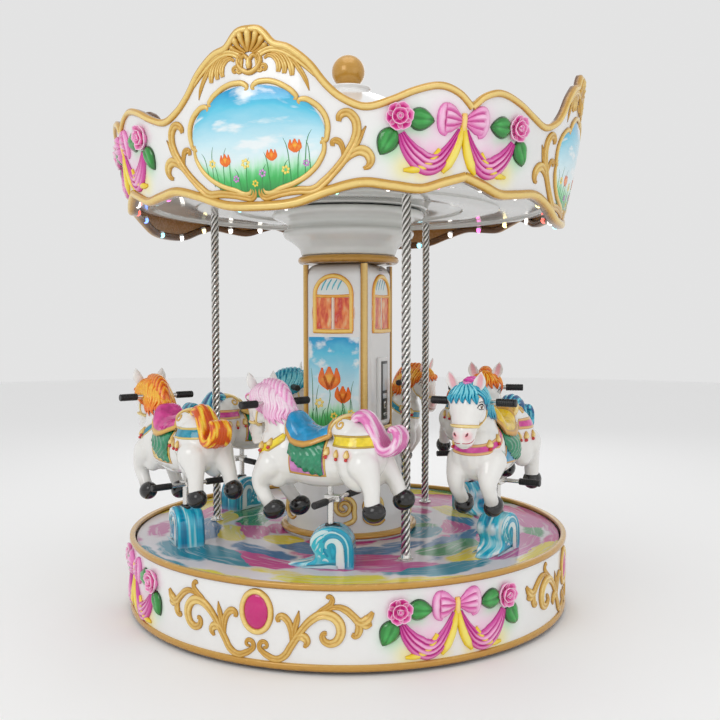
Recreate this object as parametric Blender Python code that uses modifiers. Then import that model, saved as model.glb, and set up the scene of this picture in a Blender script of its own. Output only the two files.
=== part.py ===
"""Fairground carousel: a small six-horse roundabout with a painted canopy."""
import math

import bmesh
import bpy
from mathutils import Matrix, Vector

# Driving sizes, metres and degrees
BASE_RADIUS = 0.95
TOTAL_HEIGHT = 2.37
SEAT_GAP = 0.0003
RUNNING_GAP = 0.006
RING_STEPS = 48
CANOPY_STEPS = 48

FOOT_HEIGHT = 0.012
FRAME_TOP = 0.06
BEARING_TOP = 0.22
LOWER_RIM_SECTION = 0.013
UPPER_RIM_SECTION = 0.012
UPPER_RIM_TOP = 0.318
SKIRT_WALL = 0.008
DECK_TOP = 0.300
DECK_THICKNESS = 0.018

DRUM_RADIUS = 0.275
DRUM_TOP = 0.72
PEDESTAL_RADIUS = 0.15
COLUMN_HALF_WIDTH = 0.155
COLUMN_CORNER = 0.06
COLUMN_TOP = 1.46
COLLAR_HEIGHT = 0.034
CAPITAL_TOP = 1.688
FACE_AZIMUTH = -115.0

CEILING_BOTTOM = 1.70
CEILING_THICKNESS = 0.02
CORNICE_WALL = 0.014
CORNICE_FOOT_RADIUS = 0.91
CORNICE_FOOT_HEIGHT = 1.59
CORNICE_FLARE = 0.193
CREST_START_HEIGHT = 1.95
CREST_FLARE = 0.06
MEDALLION_AZIMUTH = -109.5
ROOF_EDGE_HEIGHT = 1.83
NECK_TOP = 2.228

POLE_RADIUS = 0.018
POLE_CIRCLE = 0.61
POLE_AZIMUTHS = (-69.0, 51.0, 171.0)

HORSE_CIRCLES = (0.645, 0.735, 0.645, 0.735, 0.645, 0.735)
FIRST_HORSE_AZIMUTH = -96.0
HORSE_TURNS = (-24.0, 5.0, -15.0, -5.0, -15.0, 14.0)
HEAD_TURNS = (-18.0, 4.0, -18.0, -18.0, -18.0, -4.0)
NECK_PIVOT = 0.17
HORSE_LIFTS = (0.0, 0.020, 0.020, 0.0, -0.015, -0.010)
BELLY_HEIGHT = 0.586
WAVE_HEIGHT = 0.155
WAVE_HALF_WIDTH = 0.055
POST_RADIUS = 0.012
POST_BOTTOM = 0.370
WAVE_SOCKET_FLOOR = 0.32
BAR_RADIUS = 0.010
BAR_REACH = 0.165
BAR_FORWARD = 0.265
BODY_FORWARD = 0.03
BAR_ABOVE_BELLY = 0.312

# Outline of the canopy wall over half a sector pair: degrees from the medallion's middle, height
CORNICE_TOP_EDGE = ((0.0, 2.192), (2.5, 2.185), (5.0, 2.135), (8.0, 2.116), (12.0, 2.060), (15.0, 1.995),
                    (18.0, 1.950), (22.5, 1.925), (27.0, 1.945), (33.0, 1.985), (38.0, 2.005), (42.0, 1.988),
                    (45.0, 1.945))
CORNICE_BOTTOM_EDGE = ((0.0, 1.599), (8.0, 1.610), (16.0, 1.650), (22.5, 1.672), (29.0, 1.662),
                       (35.0, 1.656), (40.0, 1.682), (45.0, 1.708))

# Side outline of a wave housing: forward, height above the deck
WAVE_OUTLINE = ((-0.092, 0.0), (-0.092, 0.055), (-0.086, 0.100), (-0.068, 0.132), (-0.036, 0.150),
                (0.000, WAVE_HEIGHT), (0.034, 0.147), (0.060, 0.124), (0.073, 0.094), (0.066, 0.070),
                (0.054, 0.052), (0.050, 0.038), (0.062, 0.026), (0.100, 0.018), (0.152, 0.013), (0.160, 0.0))

# Horse body forms: centre forward and up from the belly, three half sizes, nose-down tilt
BODY_FORMS = (
    ((0.000, 0.115), (0.230, 0.100, 0.112), 0.0),
    ((0.160, 0.120), (0.115, 0.098, 0.125), 0.0),
    ((-0.165, 0.145), (0.115, 0.105, 0.122), 0.0),
    ((0.030, 0.205), (0.115, 0.088, 0.050), 0.0),
    ((0.140, 0.250), (0.026, 0.050, 0.038), 0.0),
    ((-0.100, 0.250), (0.045, 0.072, 0.048), 0.0),
    ((-0.215, 0.275), (0.060, 0.036, 0.036), 20.0),
    ((-0.285, 0.225), (0.045, 0.036, 0.065), -15.0),
    ((-0.280, 0.170), (0.035, 0.032, 0.045), 20.0),
)
# The forms that turn with the neck, and how much of the head's turn each takes
NECK_FORMS = (
    ((0.195, 0.225), (0.080, 0.072, 0.125), 20.0, 0.5),
    ((0.215, 0.320), (0.092, 0.058, 0.082), 15.0, 1.0),
    ((0.295, 0.312), (0.070, 0.078, 0.082), 0.0, 1.0),
    ((0.325, 0.250), (0.052, 0.064, 0.090), 0.0, 1.0),
    ((0.332, 0.192), (0.050, 0.054, 0.058), 0.0, 1.0),
)
EAR_FORM = ((0.322, 0.050, 0.388), (0.020, 0.023, 0.038), 0.0)
SIDE_FORMS = (
    ((0.205, 0.060, 0.050), (0.060, 0.042, 0.070), 25.0),
    ((0.230, 0.066, -0.005), (0.034, 0.034, 0.070), 25.0),
    ((-0.195, 0.062, 0.075), (0.070, 0.048, 0.085), 15.0),
)
LEFT_LEGS = (
    ((0.180, 0.066, -0.080), (0.044, 0.037, 0.042), 20.0),
    ((-0.235, 0.066, 0.010), (0.034, 0.034, 0.070), 5.0),
    ((-0.250, 0.066, -0.045), (0.044, 0.037, 0.040), 20.0),
)
RIGHT_LEGS = (
    ((0.150, -0.066, -0.088), (0.044, 0.037, 0.042), 20.0),
    ((0.190, -0.066, -0.040), (0.034, 0.034, 0.055), 35.0),
    ((-0.255, -0.066, 0.040), (0.036, 0.034, 0.060), 25.0),
    ((-0.300, -0.066, -0.015), (0.044, 0.037, 0.040), 30.0),
)
HORSE_VOXEL = 0.014
HORSE_TRIANGLES = 850


def clear_scene():
    for obj in list(bpy.data.objects):
        bpy.data.objects.remove(obj, do_unlink=True)


def new_collection(name):
    collection = bpy.data.collections.new(name)
    bpy.context.scene.collection.children.link(collection)
    return collection


def paint(name, colour, roughness, metallic=0.0):
    material = bpy.data.materials.new(name)
    material.use_nodes = True
    shader = material.node_tree.nodes["Principled BSDF"]
    shader.inputs["Base Color"].default_value = (*colour, 1.0)
    shader.inputs["Roughness"].default_value = roughness
    shader.inputs["Metallic"].default_value = metallic
    return material


clear_scene()
PARTS = new_collection("carousel")
CUTTERS = new_collection("cutters")

GOLD = paint("gold_paint", (0.72, 0.47, 0.16), 0.35)
WHITE = paint("white_gelcoat", (0.88, 0.88, 0.86), 0.15)
STEEL = paint("stainless_steel", (0.62, 0.61, 0.58), 0.25, 1.0)
FRAME_PAINT = paint("grey_frame_paint", (0.25, 0.26, 0.27), 0.5)
DECK_PAINT = paint("deck_paint", (0.80, 0.78, 0.76), 0.2)
WATER_BLUE = paint("wave_blue", (0.02, 0.45, 0.75), 0.15)
RUBBER = paint("black_rubber", (0.02, 0.02, 0.02), 0.6)
BOX_GREY = paint("box_grey", (0.55, 0.56, 0.57), 0.4)


def add_object(name, mesh, material, collection=None):
    obj = bpy.data.objects.new(name, mesh)
    (collection or PARTS).objects.link(obj)
    if not mesh.materials:
        mesh.materials.append(material)
    return obj


def parent_to(obj, parent):
    obj.parent = parent
    return obj


def add_empty(name, location, azimuth=0.0, parent=None):
    empty = bpy.data.objects.new(name, None)
    empty.location = location
    empty.rotation_euler.z = math.radians(azimuth)
    empty.parent = parent
    PARTS.objects.link(empty)
    return empty


def around(radius, azimuth, height=0.0):
    angle = math.radians(azimuth)
    return Vector((radius * math.cos(angle), radius * math.sin(angle), height))


def hide_cutter(obj):
    obj.hide_render = True
    obj.display_type = "WIRE"
    return obj


def combine(obj, cutter, operation):
    boolean = obj.modifiers.new(cutter.name, "BOOLEAN")
    boolean.operation = operation
    boolean.solver = "EXACT"
    boolean.object = cutter
    return obj


def evaluated_mesh(obj, name):
    """The object's mesh with its modifiers applied, in its own coordinates."""
    depsgraph = bpy.context.evaluated_depsgraph_get()
    mesh = bpy.data.meshes.new_from_object(obj.evaluated_get(depsgraph))
    mesh.name = name
    return mesh


def turned(name, profile, material, steps=RING_STEPS, collection=None):
    """A profile of (radius, height) points, down the outer side, turned about Z."""
    mesh = bpy.data.meshes.new(name)
    closed = profile[0][0] > 0.0
    edges = [(i, i + 1) for i in range(len(profile) - 1)]
    if closed:
        edges.append((len(profile) - 1, 0))
    mesh.from_pydata([(radius, 0.0, height) for radius, height in profile], edges, [])
    obj = add_object(name, mesh, material, collection)
    screw = obj.modifiers.new("turn", "SCREW")
    screw.axis = "Z"
    screw.angle = 2.0 * math.pi
    screw.steps = steps
    screw.render_steps = steps
    screw.use_merge_vertices = True
    screw.merge_threshold = 0.0001
    screw.use_smooth_shade = True
    return obj


def bmesh_object(name, bm, material, collection=None):
    bmesh.ops.recalc_face_normals(bm, faces=bm.faces)
    mesh = bpy.data.meshes.new(name)
    bm.to_mesh(mesh)
    bm.free()
    return add_object(name, mesh, material, collection)


def add_box(bm, low, high, turn=0.0):
    middle = [(a + b) / 2.0 for a, b in zip(low, high)]
    size = [b - a for a, b in zip(low, high)]
    place = Matrix.Rotation(math.radians(turn), 4, "Z") @ Matrix.Translation(middle)
    bmesh.ops.create_cube(bm, size=1.0, matrix=place @ Matrix.Diagonal((*size, 1.0)))


def add_rod(bm, radius, start, end, sides):
    axis = Vector(end) - Vector(start)
    turn = axis.to_track_quat("Z", "Y").to_matrix().to_4x4()
    place = Matrix.Translation((Vector(start) + Vector(end)) / 2.0) @ turn
    bmesh.ops.create_cone(bm, cap_ends=True, segments=sides, radius1=radius, radius2=radius,
                          depth=axis.length, matrix=place)


def box_cutter(name, low, high, turn=0.0):
    bm = bmesh.new()
    add_box(bm, low, high, turn)
    return hide_cutter(bmesh_object(name, bm, FRAME_PAINT, CUTTERS))


def rod_cutter(name, radius, start, end, sides):
    bm = bmesh.new()
    add_rod(bm, radius, start, end, sides)
    return hide_cutter(bmesh_object(name, bm, FRAME_PAINT, CUTTERS))


def rounded_square(name, half_width, corner, bottom, top, material, collection=None):
    """An upright square prism with round corners, one face towards FACE_AZIMUTH."""
    bm = bmesh.new()
    add_box(bm, (-half_width, -half_width, bottom), (half_width, half_width, top), FACE_AZIMUTH)
    upright = [edge for edge in bm.edges if abs(edge.verts[0].co.z - edge.verts[1].co.z) > 0.01]
    bmesh.ops.bevel(bm, geom=upright, offset=corner, segments=5, profile=0.5, affect="EDGES")
    return bmesh_object(name, bm, material, collection)


# The fixed base
def make_base_frame():
    """A shallow steel pan: floor plate, outer ring, hub pad and six round feet."""
    ring_top = FRAME_TOP
    plate_top = FOOT_HEIGHT + 0.008
    ring_outer = BASE_RADIUS - 2.0 * LOWER_RIM_SECTION - SEAT_GAP
    ring_inner = ring_outer - 0.06
    hub = 0.27
    frame = turned("base_frame", [(0.0, ring_top), (hub, ring_top), (hub, plate_top), (ring_inner, plate_top),
                                  (ring_inner, ring_top), (ring_outer, ring_top), (ring_outer, FOOT_HEIGHT),
                                  (0.0, FOOT_HEIGHT)], FRAME_PAINT)
    for k in range(6):
        spot = around(0.87, 60.0 * k + 30.0)
        foot = rod_cutter(f"foot_{k + 1}", 0.035, (spot.x, spot.y, 0.0), (spot.x, spot.y, 0.03), 16)
        combine(frame, foot, "UNION")


def make_rims_and_skirt():
    lower_major = BASE_RADIUS - LOWER_RIM_SECTION
    upper_major = BASE_RADIUS - UPPER_RIM_SECTION
    lower_height = FOOT_HEIGHT + LOWER_RIM_SECTION
    upper_height = UPPER_RIM_TOP - UPPER_RIM_SECTION
    for name, major, minor, height in (("base_rim_lower", lower_major, LOWER_RIM_SECTION, lower_height),
                                       ("base_rim_upper", upper_major, UPPER_RIM_SECTION, upper_height)):
        bpy.ops.mesh.primitive_torus_add(major_segments=RING_STEPS, minor_segments=8, major_radius=major,
                                         minor_radius=minor, location=(0.0, 0.0, height))
        rim = bpy.context.object
        rim.name = name
        for owner in list(rim.users_collection):
            owner.objects.unlink(rim)
        PARTS.objects.link(rim)
        rim.data.materials.append(GOLD)
        rim.data.shade_smooth()
    outer = BASE_RADIUS - 0.010
    bottom = lower_height + LOWER_RIM_SECTION + SEAT_GAP
    top = upper_height - UPPER_RIM_SECTION - SEAT_GAP
    inner = outer - SKIRT_WALL
    turned("base_skirt", [(outer, top), (outer, bottom), (inner, bottom), (inner, top)], WHITE)


def make_bearing():
    low = FRAME_TOP + SEAT_GAP
    turned("bearing_ring", [(0.24, BEARING_TOP), (0.24, low), (0.17, low), (0.17, BEARING_TOP)], STEEL, 24)


def make_drum():
    flange_bottom = DECK_TOP - DECK_THICKNESS + RUNNING_GAP
    flange_top = DECK_TOP + RUNNING_GAP
    profile = [(0.0, DRUM_TOP), (0.190, DRUM_TOP), (0.196, 0.695), (0.222, 0.64), (0.243, 0.57),
               (0.260, 0.48), (0.270, 0.39), (DRUM_RADIUS, flange_top + 0.02), (DRUM_RADIUS, flange_top),
               (0.290, flange_top), (0.290, flange_bottom), (PEDESTAL_RADIUS, flange_bottom),
               (PEDESTAL_RADIUS, FRAME_TOP + SEAT_GAP), (0.0, FRAME_TOP + SEAT_GAP)]
    turned("centre_drum", profile, WHITE, 24)
    inner = DRUM_RADIUS + SEAT_GAP
    low = flange_top + SEAT_GAP
    ring = [(inner, low + 0.020), (inner + 0.014, low + 0.020), (inner + 0.026, low + 0.012),
            (inner + 0.026, low + 0.003), (inner + 0.022, low), (inner, low)]
    turned("drum_ring", ring, GOLD, 24)


def make_column():
    bottom = DRUM_TOP + SEAT_GAP
    rounded_square("column", COLUMN_HALF_WIDTH, COLUMN_CORNER, bottom, COLUMN_TOP, WHITE)
    strip = 0.006
    trim = rounded_square("column_trim", COLUMN_HALF_WIDTH + strip, COLUMN_CORNER + strip, bottom, COLUMN_TOP, GOLD)
    core = rounded_square("trim_core", COLUMN_HALF_WIDTH + SEAT_GAP, COLUMN_CORNER + SEAT_GAP,
                          bottom - 0.01, COLUMN_TOP + 0.01, GOLD, CUTTERS)
    combine(trim, hide_cutter(core), "DIFFERENCE")
    opening = 0.118
    for k in range(2):
        cutter = box_cutter(f"trim_opening_{k + 1}", (-0.3, -opening, bottom + 0.03),
                            (0.3, opening, COLUMN_TOP - 0.02), FACE_AZIMUTH + 90.0 * k)
        combine(trim, cutter, "DIFFERENCE")


def make_collar_and_capital():
    low = COLUMN_TOP + SEAT_GAP
    high = COLUMN_TOP + COLLAR_HEIGHT
    turned("column_collar", [(0.0, high), (0.214, high), (0.222, high - 0.010), (0.222, low + 0.010),
                             (0.214, low), (0.0, low)], GOLD, 24)
    foot = high + SEAT_GAP
    profile = [(0.0, CAPITAL_TOP), (0.322, CAPITAL_TOP), (0.335, CAPITAL_TOP - 0.010),
               (0.330, CAPITAL_TOP - 0.028), (0.290, 1.646), (0.268, 1.632), (0.272, 1.612), (0.288, 1.594),
               (0.284, 1.576), (0.240, 1.550), (0.212, 1.525), (0.206, foot), (0.0, foot)]
    turned("capital", profile, WHITE, 24)


def make_control_box():
    bm = bmesh.new()
    near = COLUMN_HALF_WIDTH + SEAT_GAP
    add_box(bm, (near, -0.045, 0.765), (near + 0.022, 0.045, 1.055), FACE_AZIMUTH + 90.0)
    bmesh.ops.bevel(bm, geom=[edge for edge in bm.edges if edge.calc_length() > 0.05], offset=0.005, segments=1,
                    affect="EDGES")
    bmesh_object("control_box", bm, BOX_GREY)


# The turning deck and what stands on it
def make_deck(rotor):
    outer = BASE_RADIUS - 2.0 * UPPER_RIM_SECTION - RUNNING_GAP
    inner = 0.290 + RUNNING_GAP
    low = DECK_TOP - DECK_THICKNESS
    deck = turned("deck", [(outer, DECK_TOP), (outer, low), (inner, low), (inner, DECK_TOP)], DECK_PAINT)
    parent_to(deck, rotor)
    top = low - SEAT_GAP
    hub_low = BEARING_TOP + SEAT_GAP
    plate_low = top - 0.02
    frame = turned("deck_frame", [(0.90, top), (0.90, plate_low), (0.30, plate_low), (0.26, hub_low),
                                  (0.18, hub_low), (0.18, top)], FRAME_PAINT)
    parent_to(frame, rotor)


def make_poles(rotor):
    top = CEILING_BOTTOM - SEAT_GAP
    foot = DECK_TOP + SEAT_GAP
    profile = [(0.0, top), (POLE_RADIUS, top), (POLE_RADIUS, foot + 0.018), (0.030, foot + 0.014),
               (0.030, foot), (0.0, foot)]
    for k, azimuth in enumerate(POLE_AZIMUTHS):
        pole = turned(f"pole_{k + 1}", profile, STEEL, 12)
        pole.location = around(POLE_CIRCLE, azimuth)
        parent_to(pole, rotor)


def tangent_heading(azimuth):
    """Heading of a rider that travels clockwise, seen from above."""
    return azimuth - 90.0


def make_wave_mesh():
    curve = bpy.data.curves.new("wave_outline", "CURVE")
    curve.dimensions = "2D"
    curve.fill_mode = "BOTH"
    curve.extrude = WAVE_HALF_WIDTH
    spline = curve.splines.new("POLY")
    spline.points.add(len(WAVE_OUTLINE) - 1)
    for point, (forward, height) in zip(spline.points, WAVE_OUTLINE):
        point.co = (forward, height, 0.0, 1.0)
    spline.use_cyclic_u = True
    outline = bpy.data.objects.new("wave_outline", curve)
    CUTTERS.objects.link(outline)
    flat = evaluated_mesh(outline, "wave_flat")
    bpy.data.objects.remove(outline, do_unlink=True)
    bm = bmesh.new()
    bm.from_mesh(flat)
    bmesh.ops.remove_doubles(bm, verts=bm.verts, dist=0.0001)
    bmesh.ops.rotate(bm, verts=bm.verts, matrix=Matrix.Rotation(math.pi / 2.0, 3, "X"))
    bmesh.ops.translate(bm, verts=bm.verts, vec=(0.0, 0.0, DECK_TOP + SEAT_GAP))
    solid = bmesh_object("wave_solid", bm, WATER_BLUE, CUTTERS)
    bevel = solid.modifiers.new("round_edges", "BEVEL")
    bevel.width = 0.010
    bevel.segments = 1
    bevel.limit_method = "ANGLE"
    bevel.angle_limit = math.radians(60.0)
    socket = rod_cutter("wave_socket", POST_RADIUS + 0.001, (0.0, 0.0, WAVE_SOCKET_FLOOR), (0.0, 0.0, 0.5), 16)
    combine(solid, socket, "DIFFERENCE")
    mesh = evaluated_mesh(hide_cutter(solid), "wave")
    return mesh


def make_waves(rotor):
    mesh = make_wave_mesh()
    for k, circle in enumerate(HORSE_CIRCLES):
        azimuth = FIRST_HORSE_AZIMUTH + 60.0 * k
        wave = add_object(f"wave_{k + 1}", mesh, WATER_BLUE)
        wave.location = around(circle, azimuth)
        wave.rotation_euler.z = math.radians(tangent_heading(azimuth))
        parent_to(wave, rotor)


# The turning canopy
def edge_height(points, offset):
    """Height of a wavy edge at an angle from a medallion's middle."""
    for (a, low), (b, high) in zip(points, points[1:]):
        if offset <= b:
            return low + (high - low) * (offset - a) / (b - a)
    return points[-1][1]


def cornice_radius(height):
    """Outer radius of the canopy wall, which flares out less above the shoulders of the crests."""
    flared = min(height, CREST_START_HEIGHT) - CORNICE_FOOT_HEIGHT
    upright = max(height - CREST_START_HEIGHT, 0.0)
    return CORNICE_FOOT_RADIUS + CORNICE_FLARE * flared + CREST_FLARE * upright


def cornice_point(across, up, through):
    """A point of the canopy wall: across, up and through run from 0 to 1."""
    end_gap = math.degrees(SEAT_GAP / CORNICE_FOOT_RADIUS)
    offset = (across - 0.5) * (90.0 - end_gap)
    bottom = edge_height(CORNICE_BOTTOM_EDGE, abs(offset))
    top = edge_height(CORNICE_TOP_EDGE, abs(offset))
    height = bottom + (top - bottom) * up
    radius = cornice_radius(height)
    moulding = 0.010 if up < 0.08 or up > 0.92 else 0.0
    radius += (CORNICE_WALL + moulding) * through - CORNICE_WALL
    return around(radius, offset, height)


def make_cornice_mesh():
    columns = 36
    rows = (0.0, 0.03, 0.09, 0.5, 0.91, 0.97, 1.0)
    bm = bmesh.new()
    bmesh.ops.create_grid(bm, x_segments=columns, y_segments=len(rows) - 1, size=0.5)
    bmesh.ops.translate(bm, verts=bm.verts, vec=(0.5, 0.5, 0.0))
    for vert in bm.verts:
        vert.co.y = rows[round(vert.co.y * (len(rows) - 1))]
    made = bmesh.ops.extrude_face_region(bm, geom=bm.faces[:])
    lifted = [item for item in made["geom"] if isinstance(item, bmesh.types.BMVert)]
    bmesh.ops.translate(bm, verts=lifted, vec=(0.0, 0.0, 1.0))
    for vert in bm.verts:
        vert.co = cornice_point(*vert.co)
    bmesh.ops.recalc_face_normals(bm, faces=bm.faces)
    mesh = bpy.data.meshes.new("cornice_section")
    bm.to_mesh(mesh)
    bm.free()
    return mesh


def make_canopy(rotor):
    mesh = make_cornice_mesh()
    for k in range(4):
        section = add_object(f"cornice_section_{k + 1}", mesh, WHITE)
        section.rotation_euler.z = math.radians(MEDALLION_AZIMUTH + 90.0 * k)
        parent_to(section, rotor)

    def wall_inside(height):
        return cornice_radius(height) - CORNICE_WALL - SEAT_GAP

    ceiling_edge = wall_inside(CEILING_BOTTOM)
    ceiling_top = CEILING_BOTTOM + CEILING_THICKNESS
    ceiling = turned("canopy_ceiling", [(0.0, ceiling_top), (ceiling_edge, ceiling_top),
                                        (ceiling_edge, CEILING_BOTTOM), (0.0, CEILING_BOTTOM)],
                     WHITE, CANOPY_STEPS)
    roof_low = ROOF_EDGE_HEIGHT - 0.015
    roof_edge = wall_inside(roof_low)
    roof = turned("canopy_roof", [(0.0, NECK_TOP), (0.100, NECK_TOP), (0.088, NECK_TOP - 0.014),
                                  (0.105, NECK_TOP - 0.032), (0.150, NECK_TOP - 0.046),
                                  (roof_edge, ROOF_EDGE_HEIGHT), (roof_edge, roof_low),
                                  (0.0, NECK_TOP - 0.062)], WHITE, CANOPY_STEPS)
    for disc in (ceiling, roof):
        disc.rotation_euler.z = math.radians(MEDALLION_AZIMUTH - 45.0)
        parent_to(disc, rotor)


def make_finial(rotor):
    ball_radius = 0.072
    centre = TOTAL_HEIGHT - ball_radius
    low = NECK_TOP + SEAT_GAP
    profile = [(0.0, TOTAL_HEIGHT)]
    for k in range(1, 9):
        angle = math.radians(18.0 * k)
        profile.append((ball_radius * math.sin(angle), centre + ball_radius * math.cos(angle)))
    profile.append((0.040, low))
    profile.append((0.0, low))
    parent_to(turned("finial", profile, GOLD, 24), rotor)


# The horses
def neck_swing(turn):
    """The turn of the head about an upright axis through the root of the neck."""
    pivot = Vector((NECK_PIVOT, 0.0, 0.0))
    return Matrix.Translation(pivot) @ Matrix.Rotation(math.radians(turn), 4, "Z") @ Matrix.Translation(-pivot)


def add_form(bm, centre, half_sizes, tilt, swing=Matrix.Identity(4)):
    place = Matrix.Translation(centre) @ Matrix.Rotation(math.radians(tilt), 4, "Y")
    bmesh.ops.create_uvsphere(bm, u_segments=20, v_segments=12, radius=1.0,
                              matrix=swing @ place @ Matrix.Diagonal((*half_sizes, 1.0)))


def make_horse_mesh(head_turn):
    """Overlapping body forms fused into one skin, then pierced for the bar and the post."""
    bm = bmesh.new()
    for (forward, up), half_sizes, tilt in BODY_FORMS:
        add_form(bm, (forward, 0.0, up), half_sizes, tilt)
    for (forward, up), half_sizes, tilt, share in NECK_FORMS:
        add_form(bm, (forward, 0.0, up), half_sizes, tilt, neck_swing(head_turn * share))
    (forward, side, up), half_sizes, tilt = EAR_FORM
    for ear_side in (-side, side):
        add_form(bm, (forward, ear_side, up), half_sizes, tilt, neck_swing(head_turn))
    for (forward, side, up), half_sizes, tilt in SIDE_FORMS:
        add_form(bm, (forward, side, up), half_sizes, tilt)
        add_form(bm, (forward, -side, up), half_sizes, tilt)
    for centre, half_sizes, tilt in LEFT_LEGS + RIGHT_LEGS:
        add_form(bm, centre, half_sizes, tilt)
    bmesh.ops.translate(bm, verts=bm.verts, vec=(BODY_FORWARD, 0.0, 0.0))
    body = bmesh_object("horse_forms", bm, WHITE, CUTTERS)
    fuse = body.modifiers.new("fuse", "REMESH")
    fuse.mode = "VOXEL"
    fuse.voxel_size = HORSE_VOXEL
    smooth = body.modifiers.new("smooth", "SMOOTH")
    smooth.iterations = 2
    smooth.factor = 0.5
    skin = evaluated_mesh(body, "horse_skin")
    triangles = sum(len(face.vertices) - 2 for face in skin.polygons)
    thin = body.modifiers.new("thin", "DECIMATE")
    thin.ratio = min(1.0, HORSE_TRIANGLES / triangles)
    post_hole = rod_cutter("post_hole", POST_RADIUS + SEAT_GAP, (0.0, 0.0, -0.1), (0.0, 0.0, 0.10), 16)
    bar_hole = rod_cutter("bar_hole", BAR_RADIUS + SEAT_GAP, bar_point(-0.3, head_turn),
                          bar_point(0.3, head_turn), 12)
    combine(body, post_hole, "DIFFERENCE")
    combine(body, bar_hole, "DIFFERENCE")
    return evaluated_mesh(hide_cutter(body), "horse")


def bar_point(reach, head_turn):
    """A point on the handlebar's line, which turns with the head."""
    straight = Vector((BAR_FORWARD, reach, BAR_ABOVE_BELLY))
    body_shift = Vector((BODY_FORWARD, 0.0, 0.0))
    return neck_swing(head_turn) @ (straight - body_shift) + body_shift


def make_bar_mesh(head_turn):
    grip_start = 0.090
    bm = bmesh.new()
    add_rod(bm, BAR_RADIUS, bar_point(-grip_start - 0.01, head_turn), bar_point(grip_start + 0.01, head_turn), 12)
    bar = bmesh_object("bar_rod", bm, RUBBER, CUTTERS)
    for side, name in ((-1.0, "grip_right"), (1.0, "grip_left")):
        grip = rod_cutter(name, 0.015, bar_point(side * grip_start, head_turn),
                          bar_point(side * BAR_REACH, head_turn), 12)
        combine(bar, grip, "UNION")
    return evaluated_mesh(hide_cutter(bar), "handlebar")


def make_post_mesh():
    """Post, clamp block and foot bar, in heights above the belly."""
    post_low = POST_BOTTOM - BELLY_HEIGHT
    peg_height = -0.026
    peg_forward = -0.030
    bm = bmesh.new()
    add_rod(bm, POST_RADIUS, (0.0, 0.0, post_low), (0.0, 0.0, 0.095), 16)
    post = bmesh_object("post_rod", bm, STEEL, CUTTERS)
    block = box_cutter("clamp_block", (-0.048, -0.020, peg_height - 0.014), (0.018, 0.020, peg_height + 0.010))
    bar = rod_cutter("foot_bar", 0.009, (peg_forward, -0.10, peg_height - 0.002),
                     (peg_forward, 0.10, peg_height - 0.002), 10)
    combine(post, block, "UNION")
    combine(post, bar, "UNION")
    for side, name in ((-1.0, "peg_right"), (1.0, "peg_left")):
        peg = rod_cutter(name, 0.0135,
                         (peg_forward, side * 0.080, peg_height - 0.002),
                         (peg_forward, side * BAR_REACH, peg_height - 0.002), 10)
        combine(post, peg, "UNION")
    return evaluated_mesh(hide_cutter(post), "post")


def make_horses(rotor):
    post_mesh = make_post_mesh()
    meshes = {turn: (make_horse_mesh(turn), make_bar_mesh(turn)) for turn in sorted(set(HEAD_TURNS))}
    for k, (circle, turn, head_turn, lift) in enumerate(zip(HORSE_CIRCLES, HORSE_TURNS, HEAD_TURNS, HORSE_LIFTS)):
        azimuth = FIRST_HORSE_AZIMUTH + 60.0 * k
        place = around(circle, azimuth, BELLY_HEIGHT + lift)
        mover = add_empty(f"horse_mover_{k + 1}", place, tangent_heading(azimuth) + turn, rotor)
        horse_mesh, bar_mesh = meshes[head_turn]
        parent_to(add_object(f"horse_{k + 1}", horse_mesh, WHITE), mover)
        parent_to(add_object(f"handlebar_{k + 1}", bar_mesh, RUBBER), mover)
        parent_to(add_object(f"post_{k + 1}", post_mesh, STEEL), mover)


def main():
    make_base_frame()
    make_rims_and_skirt()
    make_bearing()
    make_drum()
    make_column()
    make_collar_and_capital()
    make_control_box()
    rotor = add_empty("rotor", (0.0, 0.0, 0.0))
    make_deck(rotor)
    make_poles(rotor)
    make_waves(rotor)
    make_canopy(rotor)
    make_finial(rotor)
    make_horses(rotor)


main()
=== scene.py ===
"""Looks of a small fairground carousel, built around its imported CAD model."""

from math import atan2, copysign, cos, degrees, exp, hypot, pi, radians, sin, sqrt

import bpy
from mathutils import Matrix, Vector


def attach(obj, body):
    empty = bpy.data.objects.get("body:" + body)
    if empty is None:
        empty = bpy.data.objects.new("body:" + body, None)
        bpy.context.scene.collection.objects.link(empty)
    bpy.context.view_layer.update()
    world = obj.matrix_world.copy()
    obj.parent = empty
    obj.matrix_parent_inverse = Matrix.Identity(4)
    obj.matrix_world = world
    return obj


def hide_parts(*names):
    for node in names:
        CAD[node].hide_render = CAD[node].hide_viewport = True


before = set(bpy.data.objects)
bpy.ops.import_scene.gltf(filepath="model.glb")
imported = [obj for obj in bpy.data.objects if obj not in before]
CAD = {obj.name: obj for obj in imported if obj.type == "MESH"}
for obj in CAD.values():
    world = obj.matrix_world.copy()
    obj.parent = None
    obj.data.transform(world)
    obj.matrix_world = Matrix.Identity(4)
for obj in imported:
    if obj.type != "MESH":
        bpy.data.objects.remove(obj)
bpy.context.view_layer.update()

MM = 0.001

# Sizes shared with the CAD model, metres and degrees
BASE_RADIUS = 0.95
SKIRT_RADIUS = 0.94
DECK_TOP = 0.3
CEILING = 1.7
COLUMN_TOP = 1.46
FACE_AZIMUTH = -115.0
MEDALLION_AZIMUTH = -109.5
POLE_SPOTS = (-69.0, 51.0, 171.0)
POLE_CIRCLE = 0.61
HORSE_CIRCLES = (0.645, 0.735, 0.645, 0.735, 0.645, 0.735)
HORSE_TURNS = (-24.0, 5.0, -15.0, -5.0, -15.0, 14.0)
HEAD_TURNS = (-18.0, 4.0, -18.0, -18.0, -18.0, -4.0)
HORSE_LIFTS = (0.0, 0.02, 0.02, 0.0, -0.015, -0.01)
BELLY = 0.586
BODY_FORWARD = 0.03
NECK_PIVOT = 0.2
CORNICE_FOOT = 1.59
CORNICE_FOOT_RADIUS = 0.91
CORNICE_FLARE = 0.193
CREST_START = 1.95
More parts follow.
